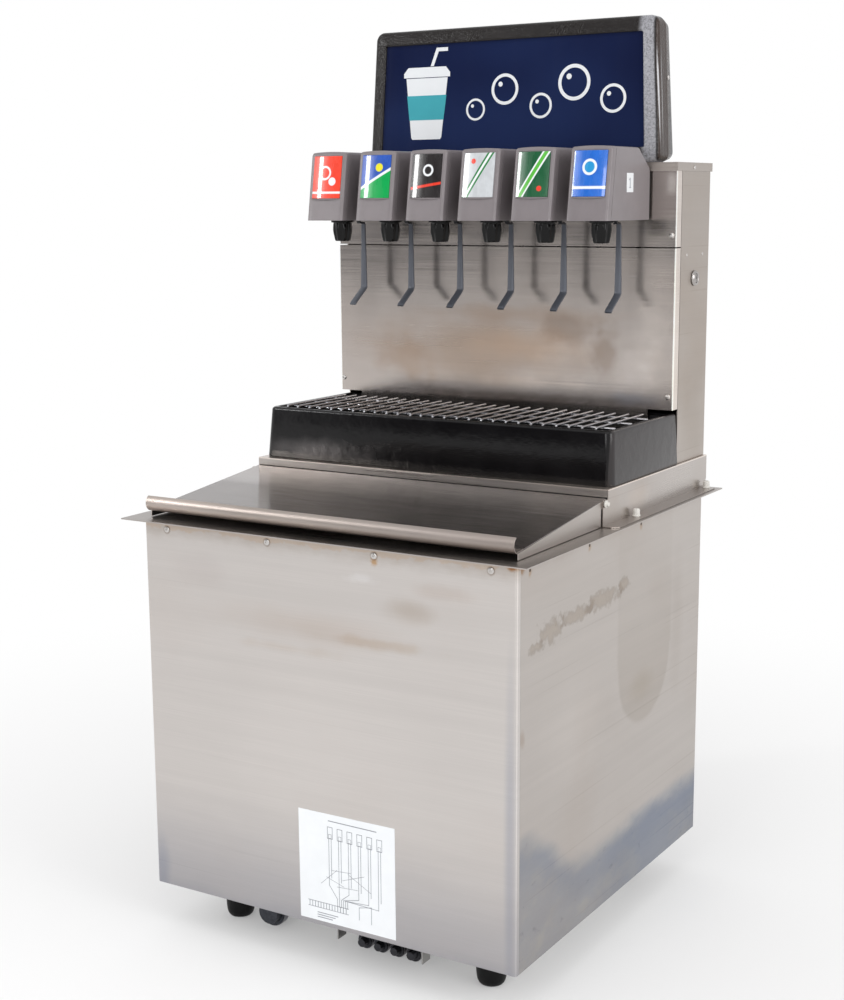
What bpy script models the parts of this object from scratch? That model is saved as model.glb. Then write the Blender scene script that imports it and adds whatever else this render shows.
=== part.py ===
"""Drop-in ice bin and soda dispenser with six lever valves. Metres, +Z up, the front faces -Y.

The driving dimensions below are measured from the jacket's lower front edge: back() takes a
distance behind the jacket's front face, and up() a height over the jacket's lower edge.
"""

import math

import bmesh
import bpy

GAP = 0.0003
SHEET = 0.0012

FOOT_HEIGHT = 0.060
FLANGE_HALF = 0.292
FLANGE_FRONT = -0.020
FLANGE_REAR = 0.562
FLANGE_THICK = 0.0015
JACKET_HALF = 0.270
JACKET_DEPTH = 0.540
JACKET_HEIGHT = 0.4925
CORNER_RETURN = 0.0075

BIN_HALF = 0.2445
BIN_FRONT = 0.030
BIN_REAR = 0.485
BIN_FLOOR = 0.047
BIN_WALL = 0.0015
FLANGE_LIP = 0.006
CHASE_HALF = 0.200
CHASE_FRONT = 0.505
CHASE_REAR = 0.525

DECK_HEIGHT = 0.539
DECK_FRONT = 0.240
DECK_LIP = 0.010
COLLAR_HALF = 0.2676
COLLAR_FRONT = 0.2255
COLLAR_REAR = 0.562
COLLAR_FOOT = 0.0190

LID_HALF = 0.2660
LID_FRONT = 0.0065
LID_REAR = 0.2375
LID_FRONT_HEIGHT = 0.5030
LID_REAR_HEIGHT = 0.5285
HINGE_BACK = 0.2310
HINGE_HEIGHT = 0.5225
HINGE_RADIUS = 0.0025

TRAY_TOP = 0.608
TRAY_REAR = 0.4625
TRAY_WALL = 0.0085
TRAY_REAR_RADIUS = 0.0015

WIRE_COUNT = 27
WIRE_HALF_SPAN = 0.236
WIRE_RADIUS = 0.0016
WIRE_HEIGHT = 0.6100
BAR_RADIUS = 0.0018
BAR_SINK = 0.0006
BAR_HEIGHT = WIRE_HEIGHT - WIRE_RADIUS - BAR_RADIUS + BAR_SINK
BAR_HALF = 0.2520
LEDGE = 0.006

TOWER_HALF = 0.2635
TOWER_FRONT = 0.4637
TOWER_REAR = 0.560
TOWER_TOP = 0.9352
SPLASH_FRONT = 0.4438
SPLASH_FOOT = 0.6135
SKIRT_HALF = 0.229
SKIRT_FOOT = 0.585
SEAM_HEIGHT = 0.8270
CAP_TOP = 0.9367
CAP_LIP = 0.0112
KEY_BACK = 0.511
KEY_HEIGHT = 0.785

SIGN_FOOT = 0.9370
SIGN_TOP = 1.1265
SIGN_HALF_FOOT = 0.2270
SIGN_HALF_TOP = 0.2185
SIGN_SPLIT = 0.500

VALVE_COUNT = 6
VALVE_PITCH = 0.0796
VALVE_HALF = 0.02875
VALVE_FRONT = 0.3112
VALVE_REAR = 0.4395
VALVE_FOOT = 0.8633
VALVE_LEAN = 0.1556
WINDOW_HALF = 0.0230
WINDOW_FOOT = 0.8930
WINDOW_TOP = 0.9505
NOZZLE_BACK = 0.356
LEVER_BACK = 0.3965
LEVER_HEIGHT = 0.8690


def back(distance):
    return distance - (FLANGE_FRONT + FLANGE_REAR) / 2


def up(height):
    return FOOT_HEIGHT + height


def place(points):
    """(distance behind the jacket's front, height over its lower edge) pairs as world (y, z)."""
    return [(back(distance), up(height)) for distance, height in points]


# Materials


def material(name, colour, metallic, roughness):
    made = bpy.data.materials.new(name)
    made.use_nodes = True
    shader = made.node_tree.nodes["Principled BSDF"]
    shader.inputs["Base Color"].default_value = (*colour, 1)
    shader.inputs["Metallic"].default_value = metallic
    shader.inputs["Roughness"].default_value = roughness
    return made


# Shapes


def mesh_object(name, points, faces, look=None):
    mesh = bpy.data.meshes.new(name)
    mesh.from_pydata(points, [], faces)
    edit = bmesh.new()
    edit.from_mesh(mesh)
    bmesh.ops.recalc_face_normals(edit, faces=edit.faces)
    edit.to_mesh(mesh)
    edit.free()
    made = bpy.data.objects.new(name, mesh)
    bpy.context.scene.collection.objects.link(made)
    if look:
        mesh.materials.append(look)
    return made


def loft(name, rings, look=None, closed=False):
    """Skins equal rings of points one to the next. The ends are capped, or joined if closed."""
    count = len(rings[0])
    points = [point for ring in rings for point in ring]
    faces = []
    for index in range(len(rings) if closed else len(rings) - 1):
        near = index * count
        far = (index + 1) % len(rings) * count
        for step in range(count):
            after = (step + 1) % count
            faces.append((near + step, near + after, far + after, far + step))
    if not closed:
        faces.append(tuple(range(count)))
        faces.append(tuple(range(len(points) - count, len(points))))
    return mesh_object(name, points, faces, look)


def along(axis, place_on_axis, outline):
    """An outline in the plane across the axis, set at a place on it."""
    if axis == "X":
        return [(place_on_axis, a, b) for a, b in outline]
    if axis == "Y":
        return [(a, place_on_axis, b) for a, b in outline]
    return [(a, b, place_on_axis) for a, b in outline]


def prism(name, outline, axis, start, end, look=None):
    return loft(name, [along(axis, start, outline), along(axis, end, outline)], look)


def box(name, low, high, look=None):
    outline = [(low[0], low[1]), (high[0], low[1]), (high[0], high[1]), (low[0], high[1])]
    return prism(name, outline, "Z", low[2], high[2], look)


def circle(radius, steps, centre=(0, 0), lobes=0, depth=0.0):
    """Points round a centre, with lobes that swell and shrink the radius by depth."""
    points = []
    for step in range(steps):
        turn = 2 * math.pi * step / steps
        reach = radius + depth * math.cos(lobes * turn) if lobes else radius
        points.append((centre[0] + reach * math.cos(turn), centre[1] + reach * math.sin(turn)))
    return points


def rod(name, axis, centre, radius, start, end, steps=16, look=None):
    return prism(name, circle(radius, steps, centre), axis, start, end, look)


def turned(name, axis, centre, profile, steps=20, look=None):
    """A capped stack of circles: profile lists (radius, place on the axis)."""
    rings = [along(axis, height, circle(radius, steps, centre)) for radius, height in profile]
    return loft(name, rings, look)


def rectangle(half, front, rear):
    return [(-half, front), (half, front), (half, rear), (-half, rear)]


def rounded(half, front, rear, radius, steps=4, rear_radius=None):
    """A rectangle's outline with round corners, anticlockwise from the front left."""
    far = radius if rear_radius is None else rear_radius
    corners = [
        (-half + radius, front + radius, 180, radius),
        (half - radius, front + radius, 270, radius),
        (half - far, rear - far, 0, far),
        (-half + far, rear - far, 90, far),
    ]
    points = []
    for x, y, start, radius in corners:
        for step in range(steps + 1):
            turn = math.radians(start + 90 * step / steps)
            points.append((x + radius * math.cos(turn), y + radius * math.sin(turn)))
    return points


def folded(path, thickness):
    """The closed outline of a sheet bent along a centre line, with mitred bends."""
    sides = ([], [])
    for index, (a, b) in enumerate(path):
        before = path[max(index - 1, 0)]
        after = path[min(index + 1, len(path) - 1)]
        normals = []
        for start, end in ((before, (a, b)), ((a, b), after)):
            length = math.hypot(end[0] - start[0], end[1] - start[1])
            if length > 0:
                normals.append(((start[1] - end[1]) / length, (end[0] - start[0]) / length))
        across = (sum(n[0] for n in normals), sum(n[1] for n in normals))
        scale = thickness / 2 * len(normals) / (across[0] ** 2 + across[1] ** 2)
        for side, sign in zip(sides, (1, -1)):
            side.append((a + sign * scale * across[0], b + sign * scale * across[1]))
    return sides[0] + sides[1][::-1]


def arc(centre, radius, start, end, steps):
    """Points on a round bend, from one angle to another in degrees."""
    turns = [math.radians(start + (end - start) * step / steps) for step in range(steps + 1)]
    return [(centre[0] + radius * math.cos(t), centre[1] + radius * math.sin(t)) for t in turns]


def boolean(target, tool, operation):
    tool.hide_render = True
    tool.display_type = "WIRE"
    step = target.modifiers.new(operation.lower() + "_" + tool.name, "BOOLEAN")
    step.operation = operation
    step.object = tool
    return target


def fuse(target, *tools):
    for tool in tools:
        boolean(target, tool, "UNION")
    return target


def carve(target, *tools):
    for tool in tools:
        boolean(target, tool, "DIFFERENCE")
    return target


def smooth(target, angle=35):
    target.data.shade_smooth()
    target.data.set_sharp_from_angle(angle=math.radians(angle))
    return target


def turn_about(target, x, y, z):
    """Moves an object's origin to a joint's axis and leaves its shape where it is."""
    for vertex in target.data.vertices:
        vertex.co.x -= x
        vertex.co.y -= y
        vertex.co.z -= z
    target.location = (x, y, z)
    return target


# The cabinet below the counter


def jacket(steel):
    """A front panel whose folded edges meet a wrap of the two sides and the rear."""
    bend = 0.003
    middle = JACKET_HALF - SHEET / 2
    right = arc((middle - bend, back(SHEET / 2 + bend)), bend, 270, 360, 4)
    left = [(-x, y) for x, y in reversed(right)]
    path = [(-middle, back(CORNER_RETURN))] + left + right + [(middle, back(CORNER_RETURN))]
    low, high = up(0), up(JACKET_HEIGHT - GAP)
    front = prism("jacket_front_panel", folded(path, SHEET), "Z", low, high, steel)
    rear = back(JACKET_DEPTH - SHEET / 2)
    start = back(CORNER_RETURN + GAP)
    path = [(-middle, start), (-middle, rear), (middle, rear), (middle, start)]
    wrap = prism("jacket_wrap", folded(path, SHEET), "Z", low, high, steel)
    return front, wrap


def tub(name, half, front, rear, low, high, wall, floor, look):
    """An open box with round corners: outside from the bottom up, then down the inside."""
    outer = rounded(half, front, rear, 0.004, 2)
    inner = rounded(half - wall, front + wall, rear - wall, 0.003, 2)
    rings = [
        along("Z", low, outer),
        along("Z", high, outer),
        along("Z", high, inner),
        along("Z", low + floor, inner),
    ]
    return loft(name, rings, look)


DRAIN = (-0.1325, 0.100)
DRAIN_RADIUS = 0.0125
DRAIN_MOUTH_HEIGHT = -0.037


def base_pan(steel):
    pan = tub(
        "base_pan",
        JACKET_HALF - SHEET - GAP,
        back(SHEET + GAP),
        back(JACKET_DEPTH - SHEET - GAP),
        up(0),
        up(0.015),
        SHEET,
        0.0015,
        steel,
    )
    hole = rod("pan_hole", "Z", (DRAIN[0], back(DRAIN[1])), DRAIN_RADIUS + GAP, up(-0.01), up(0.01))
    return carve(pan, hole)


def bin_liner(steel):
    """The ice bin, with an outward rim that hangs it under the counter flange."""
    high = up(JACKET_HEIGHT - 2 * GAP)
    rim = high - SHEET
    outer = rectangle(BIN_HALF, back(BIN_FRONT), back(BIN_REAR))
    inner = rectangle(BIN_HALF - BIN_WALL, back(BIN_FRONT + BIN_WALL), back(BIN_REAR - BIN_WALL))
    edge = rectangle(BIN_HALF + 0.008, back(BIN_FRONT - 0.008), back(BIN_REAR + 0.008))
    rings = [
        along("Z", up(BIN_FLOOR), outer),
        along("Z", rim, outer),
        along("Z", rim, edge),
        along("Z", high, edge),
        along("Z", high, inner),
        along("Z", up(BIN_FLOOR + BIN_WALL), inner),
    ]
    liner = loft("bin_liner", rings, steel)
    centre = (DRAIN[0], back(DRAIN[1]))
    hole = rod("liner_hole", "Z", centre, DRAIN_RADIUS + GAP, up(BIN_FLOOR - 0.01), up(BIN_FLOOR + 0.01))
    return carve(liner, hole)


def bin_insulation(foam):
    """Foam between the jacket and the bin, with a chase for the product lines at the rear."""
    outer = rounded(JACKET_HALF - 0.0035, back(0.0035), back(JACKET_DEPTH - 0.0035), 0.006, 2)
    inner = rounded(BIN_HALF + 0.001, back(BIN_FRONT - 0.001), back(BIN_REAR + 0.001), 0.001, 2)
    high = up(JACKET_HEIGHT - 0.0025)
    rings = [
        along("Z", up(0.003), outer),
        along("Z", high, outer),
        along("Z", high, inner),
        along("Z", up(BIN_FLOOR - GAP), inner),
    ]
    foam_box = loft("bin_insulation", rings, foam)
    centre = (DRAIN[0], back(DRAIN[1]))
    hole = rod("foam_hole", "Z", centre, DRAIN_RADIUS + GAP, up(-0.01), up(BIN_FLOOR + 0.01))
    low = (-CHASE_HALF, back(CHASE_FRONT), up(0.020))
    chase = box("foam_chase", low, (CHASE_HALF, back(CHASE_REAR), up(JACKET_HEIGHT)))
    return carve(foam_box, hole, chase)


def cold_plate(aluminium):
    low = up(BIN_FLOOR + BIN_WALL + GAP)
    sizes = [(0.228, low), (0.232, low + 0.004), (0.232, low + 0.041), (0.228, low + 0.045)]
    rings = []
    for half, height in sizes:
        inset = 0.232 - half
        rings.append(along("Z", height, rectangle(half, back(0.135 + inset), back(0.475 - inset))))
    return loft("cold_plate", rings, aluminium)


def drain_fitting(plastic):
    """A flanged tail through the bin floor, and an elbow whose hose barb points forward."""
    x, y = DRAIN[0], back(DRAIN[1])
    floor = up(BIN_FLOOR + BIN_WALL + GAP)
    height = up(DRAIN_MOUTH_HEIGHT)
    tail = [
        (0.0120, height),
        (0.0120, floor),
        (0.0200, floor),
        (0.0200, floor + 0.003),
    ]
    body = turned("drain_fitting", "Z", (x, y), tail, 16, plastic)
    barb = [
        (0.0150, y + 0.015),
        (0.0150, y - 0.014),
        (0.0165, y - 0.016),
        (0.0165, y - 0.022),
        (0.0200, y - 0.022),
        (0.0200, y - 0.034),
        (0.0165, y - 0.034),
        (0.0150, y - 0.042),
    ]
    return smooth(fuse(body, turned("drain_barb", "Y", (x, height), barb, 16)))


INLET_FIRST = 0.010
INLET_PITCH = 0.0245
INLET_HEIGHTS = (-0.048, -0.022)


def inlet_manifold(steel):
    """A hanging bracket with two ears and a block that carries eight hose barbs in two rows."""
    low = (-0.016, back(0.050), up(-0.0015))
    bracket = box("inlet_manifold", low, (0.112, back(0.120), up(-GAP)), steel)
    ears = [
        box("inlet_ear_left", (-0.016, back(0.050), up(-0.042)), (-0.0145, back(0.068), up(-0.001))),
        box("inlet_ear_right", (0.1105, back(0.050), up(-0.045)), (0.112, back(0.068), up(-0.001))),
    ]
    block = box("inlet_block", (0.000, back(0.092), up(-0.056)), (0.094, back(0.116), up(-0.001)))
    rows = []
    for row, height in enumerate(INLET_HEIGHTS):
        for column in range(4):
            centre = (INLET_FIRST + column * INLET_PITCH, up(height))
            profile = [
                (0.0070, back(0.094)),
                (0.0070, back(0.084)),
                (0.0100, back(0.084)),
                (0.0100, back(0.074)),
                (0.0070, back(0.074)),
                (0.0055, back(0.066)),
            ]
            rows.append(turned(f"inlet_barb_{row}_{column}", "Y", centre, profile, 10))
    return fuse(bracket, *ears, block, *rows)


def feet(rubber):
    """Tapered rubber bumpers with a domed end."""
    profile = [
        (0.0105, 0),
        (0.0146, 0.0014),
        (0.0177, 0.0055),
        (0.0189, 0.0125),
        (0.0214, FOOT_HEIGHT - GAP),
    ]
    for name, x, distance in (
        ("foot_front_left", -0.194, 0.079),
        ("foot_front_right", 0.194, 0.079),
        ("foot_rear_left", -0.194, 0.461),
        ("foot_rear_right", 0.194, 0.461),
    ):
        smooth(turned(name, "Z", (x, back(distance)), profile, 20, rubber))


# The counter level


def counter_flange(steel):
    """The flat plate that drops over the counter cut-out, open over the ice bin."""
    low = up(JACKET_HEIGHT)
    high = low + FLANGE_THICK
    outer = rectangle(FLANGE_HALF, back(FLANGE_FRONT), back(FLANGE_REAR))
    inner = rectangle(
        BIN_HALF - FLANGE_LIP,
        back(BIN_FRONT + FLANGE_LIP),
        back(BIN_REAR - FLANGE_LIP),
    )
    rings = [
        along("Z", low, outer),
        along("Z", high, outer),
        along("Z", high, inner),
        along("Z", low, inner),
    ]
    plate = loft("counter_flange", rings, steel, closed=True)
    slot = box(
        "flange_slot",
        (-CHASE_HALF, back(CHASE_FRONT), low - 0.01),
        (CHASE_HALF, back(CHASE_REAR), high + 0.01),
    )
    return carve(plate, slot)


def deck_collar(steel):
    """The raised deck: a hat-shaped fold with outward feet, a front lip and a closed rear."""
    foot = up(JACKET_HEIGHT) + FLANGE_THICK + GAP + SHEET / 2
    top = up(DECK_HEIGHT) - SHEET / 2
    wall = COLLAR_HALF - SHEET / 2
    reach = COLLAR_HALF + COLLAR_FOOT
    path = [(-reach, foot), (-wall, foot), (-wall, top), (wall, top), (wall, foot), (reach, foot)]
    front, rear = back(COLLAR_FRONT), back(COLLAR_REAR)
    hat = prism("deck_collar", folded(path, SHEET), "Y", front, rear, steel)
    notch = up(DECK_HEIGHT - DECK_LIP - 0.002)
    opening = box("deck_mouth", (-0.3, front - 0.01, notch), (0.3, back(DECK_FRONT), top + 0.01))
    hat = carve(hat, opening)
    for side in (-1, 1):
        outer = side * reach
        corner = [(outer, front), (outer - side * 0.010, front), (outer, front + 0.010)]
        spread = [(x + side * 0.002 * (x == outer), y - 0.002 * (y == front)) for x, y in corner]
        carve(hat, prism(f"foot_corner_front_{side}", spread, "Z", foot - 0.01, foot + 0.01))
        corner = [(outer, rear), (outer - side * 0.024, rear), (outer, rear - 0.016)]
        spread = [(x + side * 0.002 * (x == outer), y + 0.002 * (y == rear)) for x, y in corner]
        carve(hat, prism(f"foot_corner_rear_{side}", spread, "Z", foot - 0.01, foot + 0.01))
        hole = rod(
            f"hinge_hole_{side}",
            "X",
            (back(HINGE_BACK), up(HINGE_HEIGHT)),
            HINGE_RADIUS + GAP,
            side * 0.255,
            side * 0.275,
            12,
        )
        carve(hat, hole)
    slot = box(
        "deck_slot",
        (-CHASE_HALF, back(CHASE_FRONT), top - 0.01),
        (CHASE_HALF, back(CHASE_REAR), top + 0.01),
    )
    hat = carve(hat, slot)
    lip = box(
        "deck_lip",
        (-wall, back(DECK_FRONT), up(DECK_HEIGHT - DECK_LIP)),
        (wall, back(DECK_FRONT) + SHEET, top),
    )
    closure = box("deck_rear", (-wall, rear - SHEET, foot - SHEET / 2), (wall, rear, top))
    return fuse(hat, lip, closure)


def lid_height(distance):
    """Height of the middle of the lid's sheet, at a distance behind the jacket's front."""
    run = (distance - LID_FRONT) / (LID_REAR - LID_FRONT)
    return LID_FRONT_HEIGHT - SHEET / 2 + run * (LID_REAR_HEIGHT - LID_FRONT_HEIGHT)


def bin_lid(steel):
    """A sloping sheet with a rolled pull in front, and two side flanges with hinge ears."""
    pull = arc((0.0092, 0.5125), 0.0102, 243, 118, 5)
    path = [(LID_REAR, lid_height(LID_REAR) - 0.007), (LID_REAR, lid_height(LID_REAR))] + pull
    outline = folded(place(path), SHEET)
    sheet = prism("bin_lid", outline, "X", -LID_HALF, LID_HALF, steel)
    ear = HINGE_HEIGHT - 0.0055
    side_path = [
        (0.0085, JACKET_HEIGHT + 0.0022),
        (COLLAR_FRONT - 0.002, JACKET_HEIGHT + 0.0022),
        (COLLAR_FRONT - 0.002, ear),
        (LID_REAR, ear),
        (LID_REAR, lid_height(LID_REAR)),
        (0.0085, lid_height(0.0085)),
    ]
    for side in (-1, 1):
        faces = sorted((side * LID_HALF, side * (LID_HALF - SHEET)))
        fuse(sheet, prism(f"lid_side_{side}", place(side_path), "X", faces[0], faces[1]))
        centre = (back(HINGE_BACK), up(HINGE_HEIGHT))
        faces = sorted((side * 0.255, side * 0.275))
        carve(sheet, rod(f"lid_hole_{side}", "X", centre, HINGE_RADIUS + GAP, faces[0], faces[1], 12))
    return turn_about(sheet, 0, back(HINGE_BACK), up(HINGE_HEIGHT))


def hinge_pins(nylon):
    """Headed pins through the collar into the lid's ears."""
    profile = [
        (HINGE_RADIUS, 0.2590),
        (HINGE_RADIUS, COLLAR_HALF + GAP),
        (0.0046, COLLAR_HALF + GAP),
        (0.0048, COLLAR_HALF + 0.0024),
        (0.0030, COLLAR_HALF + 0.0030),
        (0.0026, COLLAR_HALF + 0.0056),
    ]
    for name, side in (("lid_hinge_pin_left", -1), ("lid_hinge_pin_right", 1)):
        sided = [(radius, side * place_on_axis) for radius, place_on_axis in profile]
        centre = (back(HINGE_BACK), up(HINGE_HEIGHT))
        smooth(turned(name, "X", centre, sided, 12, nylon))


def drip_tray(plastic):
    """A moulded tub whose walls lean in as they rise, with a round rim and a ledge inside."""
    low, high = DECK_HEIGHT + GAP, TRAY_TOP
    ledge = BAR_HEIGHT - BAR_RADIUS - GAP
    levels = [
        (low, 0.0, 0.010),
        (high - 0.0040, 0.0, 0.010),
        (high - 0.0012, 0.0012, 0.009),
        (high, 0.0040, 0.008),
        (high, TRAY_WALL - 0.0015, 0.006),
        (high - 0.0015, TRAY_WALL, 0.006),
        (ledge, TRAY_WALL, 0.006),
        (ledge, TRAY_WALL + LEDGE, 0.006),
        (low + 0.006, TRAY_WALL + LEDGE, 0.006),
    ]
    rings = []
    for height, inset, radius in levels:
        rise = (height - low) / (high - low)
        half = 0.2658 - 0.0042 * rise - inset
        front = 0.2547 + 0.0054 * rise + inset
        outline = rounded(half, back(front), back(TRAY_REAR - inset), radius, 4, TRAY_REAR_RADIUS)
        rings.append(along("Z", up(height), outline))
    return smooth(loft("drip_tray", rings, plastic))


def cup_rest_grille(chrome):
    """Wires from front to rear, fused to three cross bars that rest on the tray's ledge."""
    front, rear = back(0.2665), back(0.412)
    low = up(WIRE_HEIGHT)
    bar = up(BAR_HEIGHT)
    grille = None
    for index in range(WIRE_COUNT):
        x = -WIRE_HALF_SPAN + 2 * WIRE_HALF_SPAN * index / (WIRE_COUNT - 1)
        name = "cup_rest_wire_" + str(index)
        wire = rod(name, "Y", (x, low), WIRE_RADIUS, front, rear, 6, chrome)
        if grille:
            grille = join(grille, wire)
        else:
            grille = wire
            grille.name = "cup_rest_grille"
    for index, distance in enumerate((0.290, 0.340, 0.390)):
        name = "cup_rest_bar_" + str(index)
        fuse(grille, rod(name, "X", (back(distance), bar), BAR_RADIUS, -BAR_HALF, BAR_HALF, 8))
    return grille


def join(target, extra):
    """Moves the extra object's shape into the target's mesh."""
    edit = bmesh.new()
    edit.from_mesh(target.data)
    edit.from_mesh(extra.data)
    edit.to_mesh(target.data)
    edit.free()
    bpy.data.objects.remove(extra)
    return target


# The tower


def tower_shell(steel):
    side = TOWER_HALF - SHEET / 2
    start, rear = back(TOWER_FRONT), back(TOWER_REAR - SHEET / 2)
    path = [(-side, start), (-side, rear), (side, rear), (side, start)]
    low, high = up(DECK_HEIGHT + GAP), up(TOWER_TOP)
    shell = prism("tower_shell", folded(path, SHEET), "Z", low, high, steel)
    centre = (back(KEY_BACK), up(KEY_HEIGHT))
    return carve(shell, rod("key_hole", "X", centre, 0.0081, 0.255, 0.275))


def splash_panels(steel):
    """Two flat pans in front of the tower. The lower one's skirt laps into the drip tray."""
    front, edge = back(SPLASH_FRONT), back(TRAY_REAR)
    foot, seam = up(SPLASH_FOOT), up(SEAM_HEIGHT) - 0.0008
    outline = [
        (-SKIRT_HALF, up(SKIRT_FOOT)),
        (SKIRT_HALF, up(SKIRT_FOOT)),
        (SKIRT_HALF, foot),
        (TOWER_HALF, foot),
        (TOWER_HALF, seam),
        (-TOWER_HALF, seam),
        (-TOWER_HALF, foot),
        (-SKIRT_HALF, foot),
    ]
    lower = prism("splash_panel_lower", outline, "Y", front, front + SHEET, steel)
    fold = front + 0.012
    fuse(lower, box("lower_hem", (-TOWER_HALF, front, seam - SHEET), (TOWER_HALF, fold, seam)))
    start, top = up(SEAM_HEIGHT) + 0.0008, up(TOWER_TOP)
    inset = front + 0.0008
    low = (-TOWER_HALF, inset, start)
    upper = box("splash_panel_upper", low, (TOWER_HALF, inset + SHEET, top), steel)
    fuse(upper, box("upper_hem", low, (TOWER_HALF, fold, start + SHEET)))
    for side in (-1, 1):
        faces = sorted((side * TOWER_HALF, side * (TOWER_HALF - SHEET)))
        low = (faces[0], front, foot)
        fuse(lower, box(f"lower_return_{side}", low, (faces[1], edge, seam)))
        low = (faces[0], inset, start)
        fuse(upper, box(f"upper_return_{side}", low, (faces[1], edge, top)))
    return lower, upper


def tower_cap(steel):
    """A shallow lid whose lips hang outside the tower."""
    outer = rectangle(TOWER_HALF + 0.0022, back(SPLASH_FRONT - 0.0018), back(TOWER_REAR + 0.0018))
    inner = rectangle(TOWER_HALF + 0.0010, back(SPLASH_FRONT - 0.0006), back(TOWER_REAR + 0.0006))
    rings = [
        along("Z", up(CAP_TOP), outer),
        along("Z", up(CAP_TOP - CAP_LIP), outer),
        along("Z", up(CAP_TOP - CAP_LIP), inner),
        along("Z", up(CAP_TOP) - SHEET, inner),
    ]
    return loft("tower_cap", rings, steel)


def key_switch(chrome, steel):
    """A bezel and barrel through the tower's right side, and the plug that the key turns."""
    centre = (back(KEY_BACK), up(KEY_HEIGHT))
    face = TOWER_HALF + GAP
    profile = [
        (0.0078, face - 0.018),
        (0.0078, face),
        (0.0104, face),
        (0.0104, face + 0.0015),
        (0.0085, face + 0.0036),
    ]
    body = turned("key_switch_body", "X", centre, profile, 24, chrome)
    carve(body, rod("key_bore", "X", centre, 0.0059, face - 0.014, face + 0.01, 24))
    smooth(body)
    plug = rod("key_barrel", "X", centre, 0.0055, face - 0.0135, face + 0.0030, 24, steel)
    depth = face + 0.0008
    low = (depth, centre[0] - 0.0006, centre[1] - 0.0035)
    high = (face + 0.01, centre[0] + 0.0006, centre[1] + 0.0035)
    carve(plug, box("key_slot", low, high))
    smooth(plug)
    turn_about(plug, 0, centre[0], centre[1])


def soda_lines(plastic):
    """A header behind the valves, with risers that drop through the deck into the foam."""
    y = back((CHASE_FRONT + CHASE_REAR) / 2)
    low = (-0.2150, y - 0.008, up(0.884))
    header = box("soda_lines", low, (0.2150, y + 0.008, up(0.900)), plastic)
    count = 7
    for index in range(count):
        x = -0.180 + 0.360 * index / (count - 1)
        fuse(header, rod(f"riser_{index}", "Z", (x, y), 0.004, up(0.026), up(0.888), 8))
    return header


# The sign


def sign_ring(foot_back, top_back, inset, radius=0.010, steps=4):
    """One ring of the sign's tapered outline, leaning from foot_back to top_back."""
    foot, top = up(SIGN_FOOT) + inset, up(SIGN_TOP) - inset
    points = []
    for x, z in rounded(1.0, foot, top, radius, steps):
        rise = (z - up(SIGN_FOOT)) / (SIGN_TOP - SIGN_FOOT)
        half = SIGN_HALF_FOOT + rise * (SIGN_HALF_TOP - SIGN_HALF_FOOT) - inset
        side = math.copysign(1, x)
        points.append((side * (half - (1.0 - abs(x))), back(foot_back + rise * (top_back - foot_back)), z))
    return points


def sign(plastic, acrylic, lamp_look):
    """A bezel, its display panel, the housing behind them, and the lamp inside."""
    front, lean = 0.467, 0.007
    bezel = [
        (SIGN_SPLIT, SIGN_SPLIT, 0, 0.012),
        (front + 0.004, front + lean + 0.004, 0, 0.012),
        (front + 0.001, front + lean + 0.001, 0.0022, 0.010),
        (front, front + lean, 0.0065, 0.008),
        (front, front + lean, 0.0190, 0.003),
        (front + 0.0015, front + lean + 0.0015, 0.0205, 0.002),
        (front + 0.0035, front + lean + 0.0035, 0.0205, 0.002),
        (front + 0.0035, front + lean + 0.0035, 0.0035, 0.009),
        (SIGN_SPLIT, SIGN_SPLIT, 0.0035, 0.009),
    ]
    rings = [sign_ring(*level) for level in bezel]
    smooth(loft("sign_bezel", rings, plastic, closed=True))
    panel = [
        sign_ring(front + 0.0038, front + lean + 0.0038, 0.0042, 0.008),
        sign_ring(front + 0.0068, front + lean + 0.0068, 0.0042, 0.008),
    ]
    loft("sign_panel", panel, acrylic)
    split = SIGN_SPLIT + GAP
    housing = [
        (0.5320, 0.5250, 0.0100, 0.008),
        (0.5300, 0.5230, 0.0045, 0.010),
        (0.5060, 0.5060, 0.0010, 0.012),
        (split, split, 0, 0.012),
        (split, split, 0.0035, 0.009),
        (0.5285, 0.5215, 0.0080, 0.008),
    ]
    smooth(loft("sign_housing", [sign_ring(*level) for level in housing], plastic))
    middle = up((SIGN_FOOT + SIGN_TOP) / 2)
    low = (-0.190, back(0.5150), middle - 0.016)
    lamp = box("sign_lamp", low, (0.190, back(0.5165), middle + 0.016), lamp_look)
    for side in (-1, 1):
        faces = sorted((side * 0.176, side * 0.188))
        low = (faces[0], back(0.4935), middle - 0.009)
        fuse(lamp, box(f"lamp_holder_{side}", low, (faces[1], back(0.5155), middle + 0.009)))
    tube = rod("lamp_tube", "X", (back(0.5015), middle), 0.0070, -0.180, 0.180, 12)
    fuse(lamp, tube)


# One valve, six times


def front_face(height, inset=0.0):
    """Distance back of the cover's leaning front, at a height and a depth into it."""
    return VALVE_FRONT + (height - VALVE_FOOT) * VALVE_LEAN + inset


def cover_ring(x, shrink, crown):
    """The cover's side outline. Shrink bevels its front and top edges."""
    top = 0.9548 + crown - shrink
    chamfer = (VALVE_REAR - 0.0030, 0.9300)
    path = [
        (front_face(VALVE_FOOT) + shrink, VALVE_FOOT),
        (front_face(0.9475) + shrink, 0.9475 - shrink * 0.5),
        (front_face(0.9520) + shrink + 0.0012, top - 0.0018),
        (front_face(0.9545) + shrink + 0.0042, top),
        (0.4065, top),
        chamfer,
        (VALVE_REAR, VALVE_FOOT),
    ]
    return [(x, *point) for point in place(path)]


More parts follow.
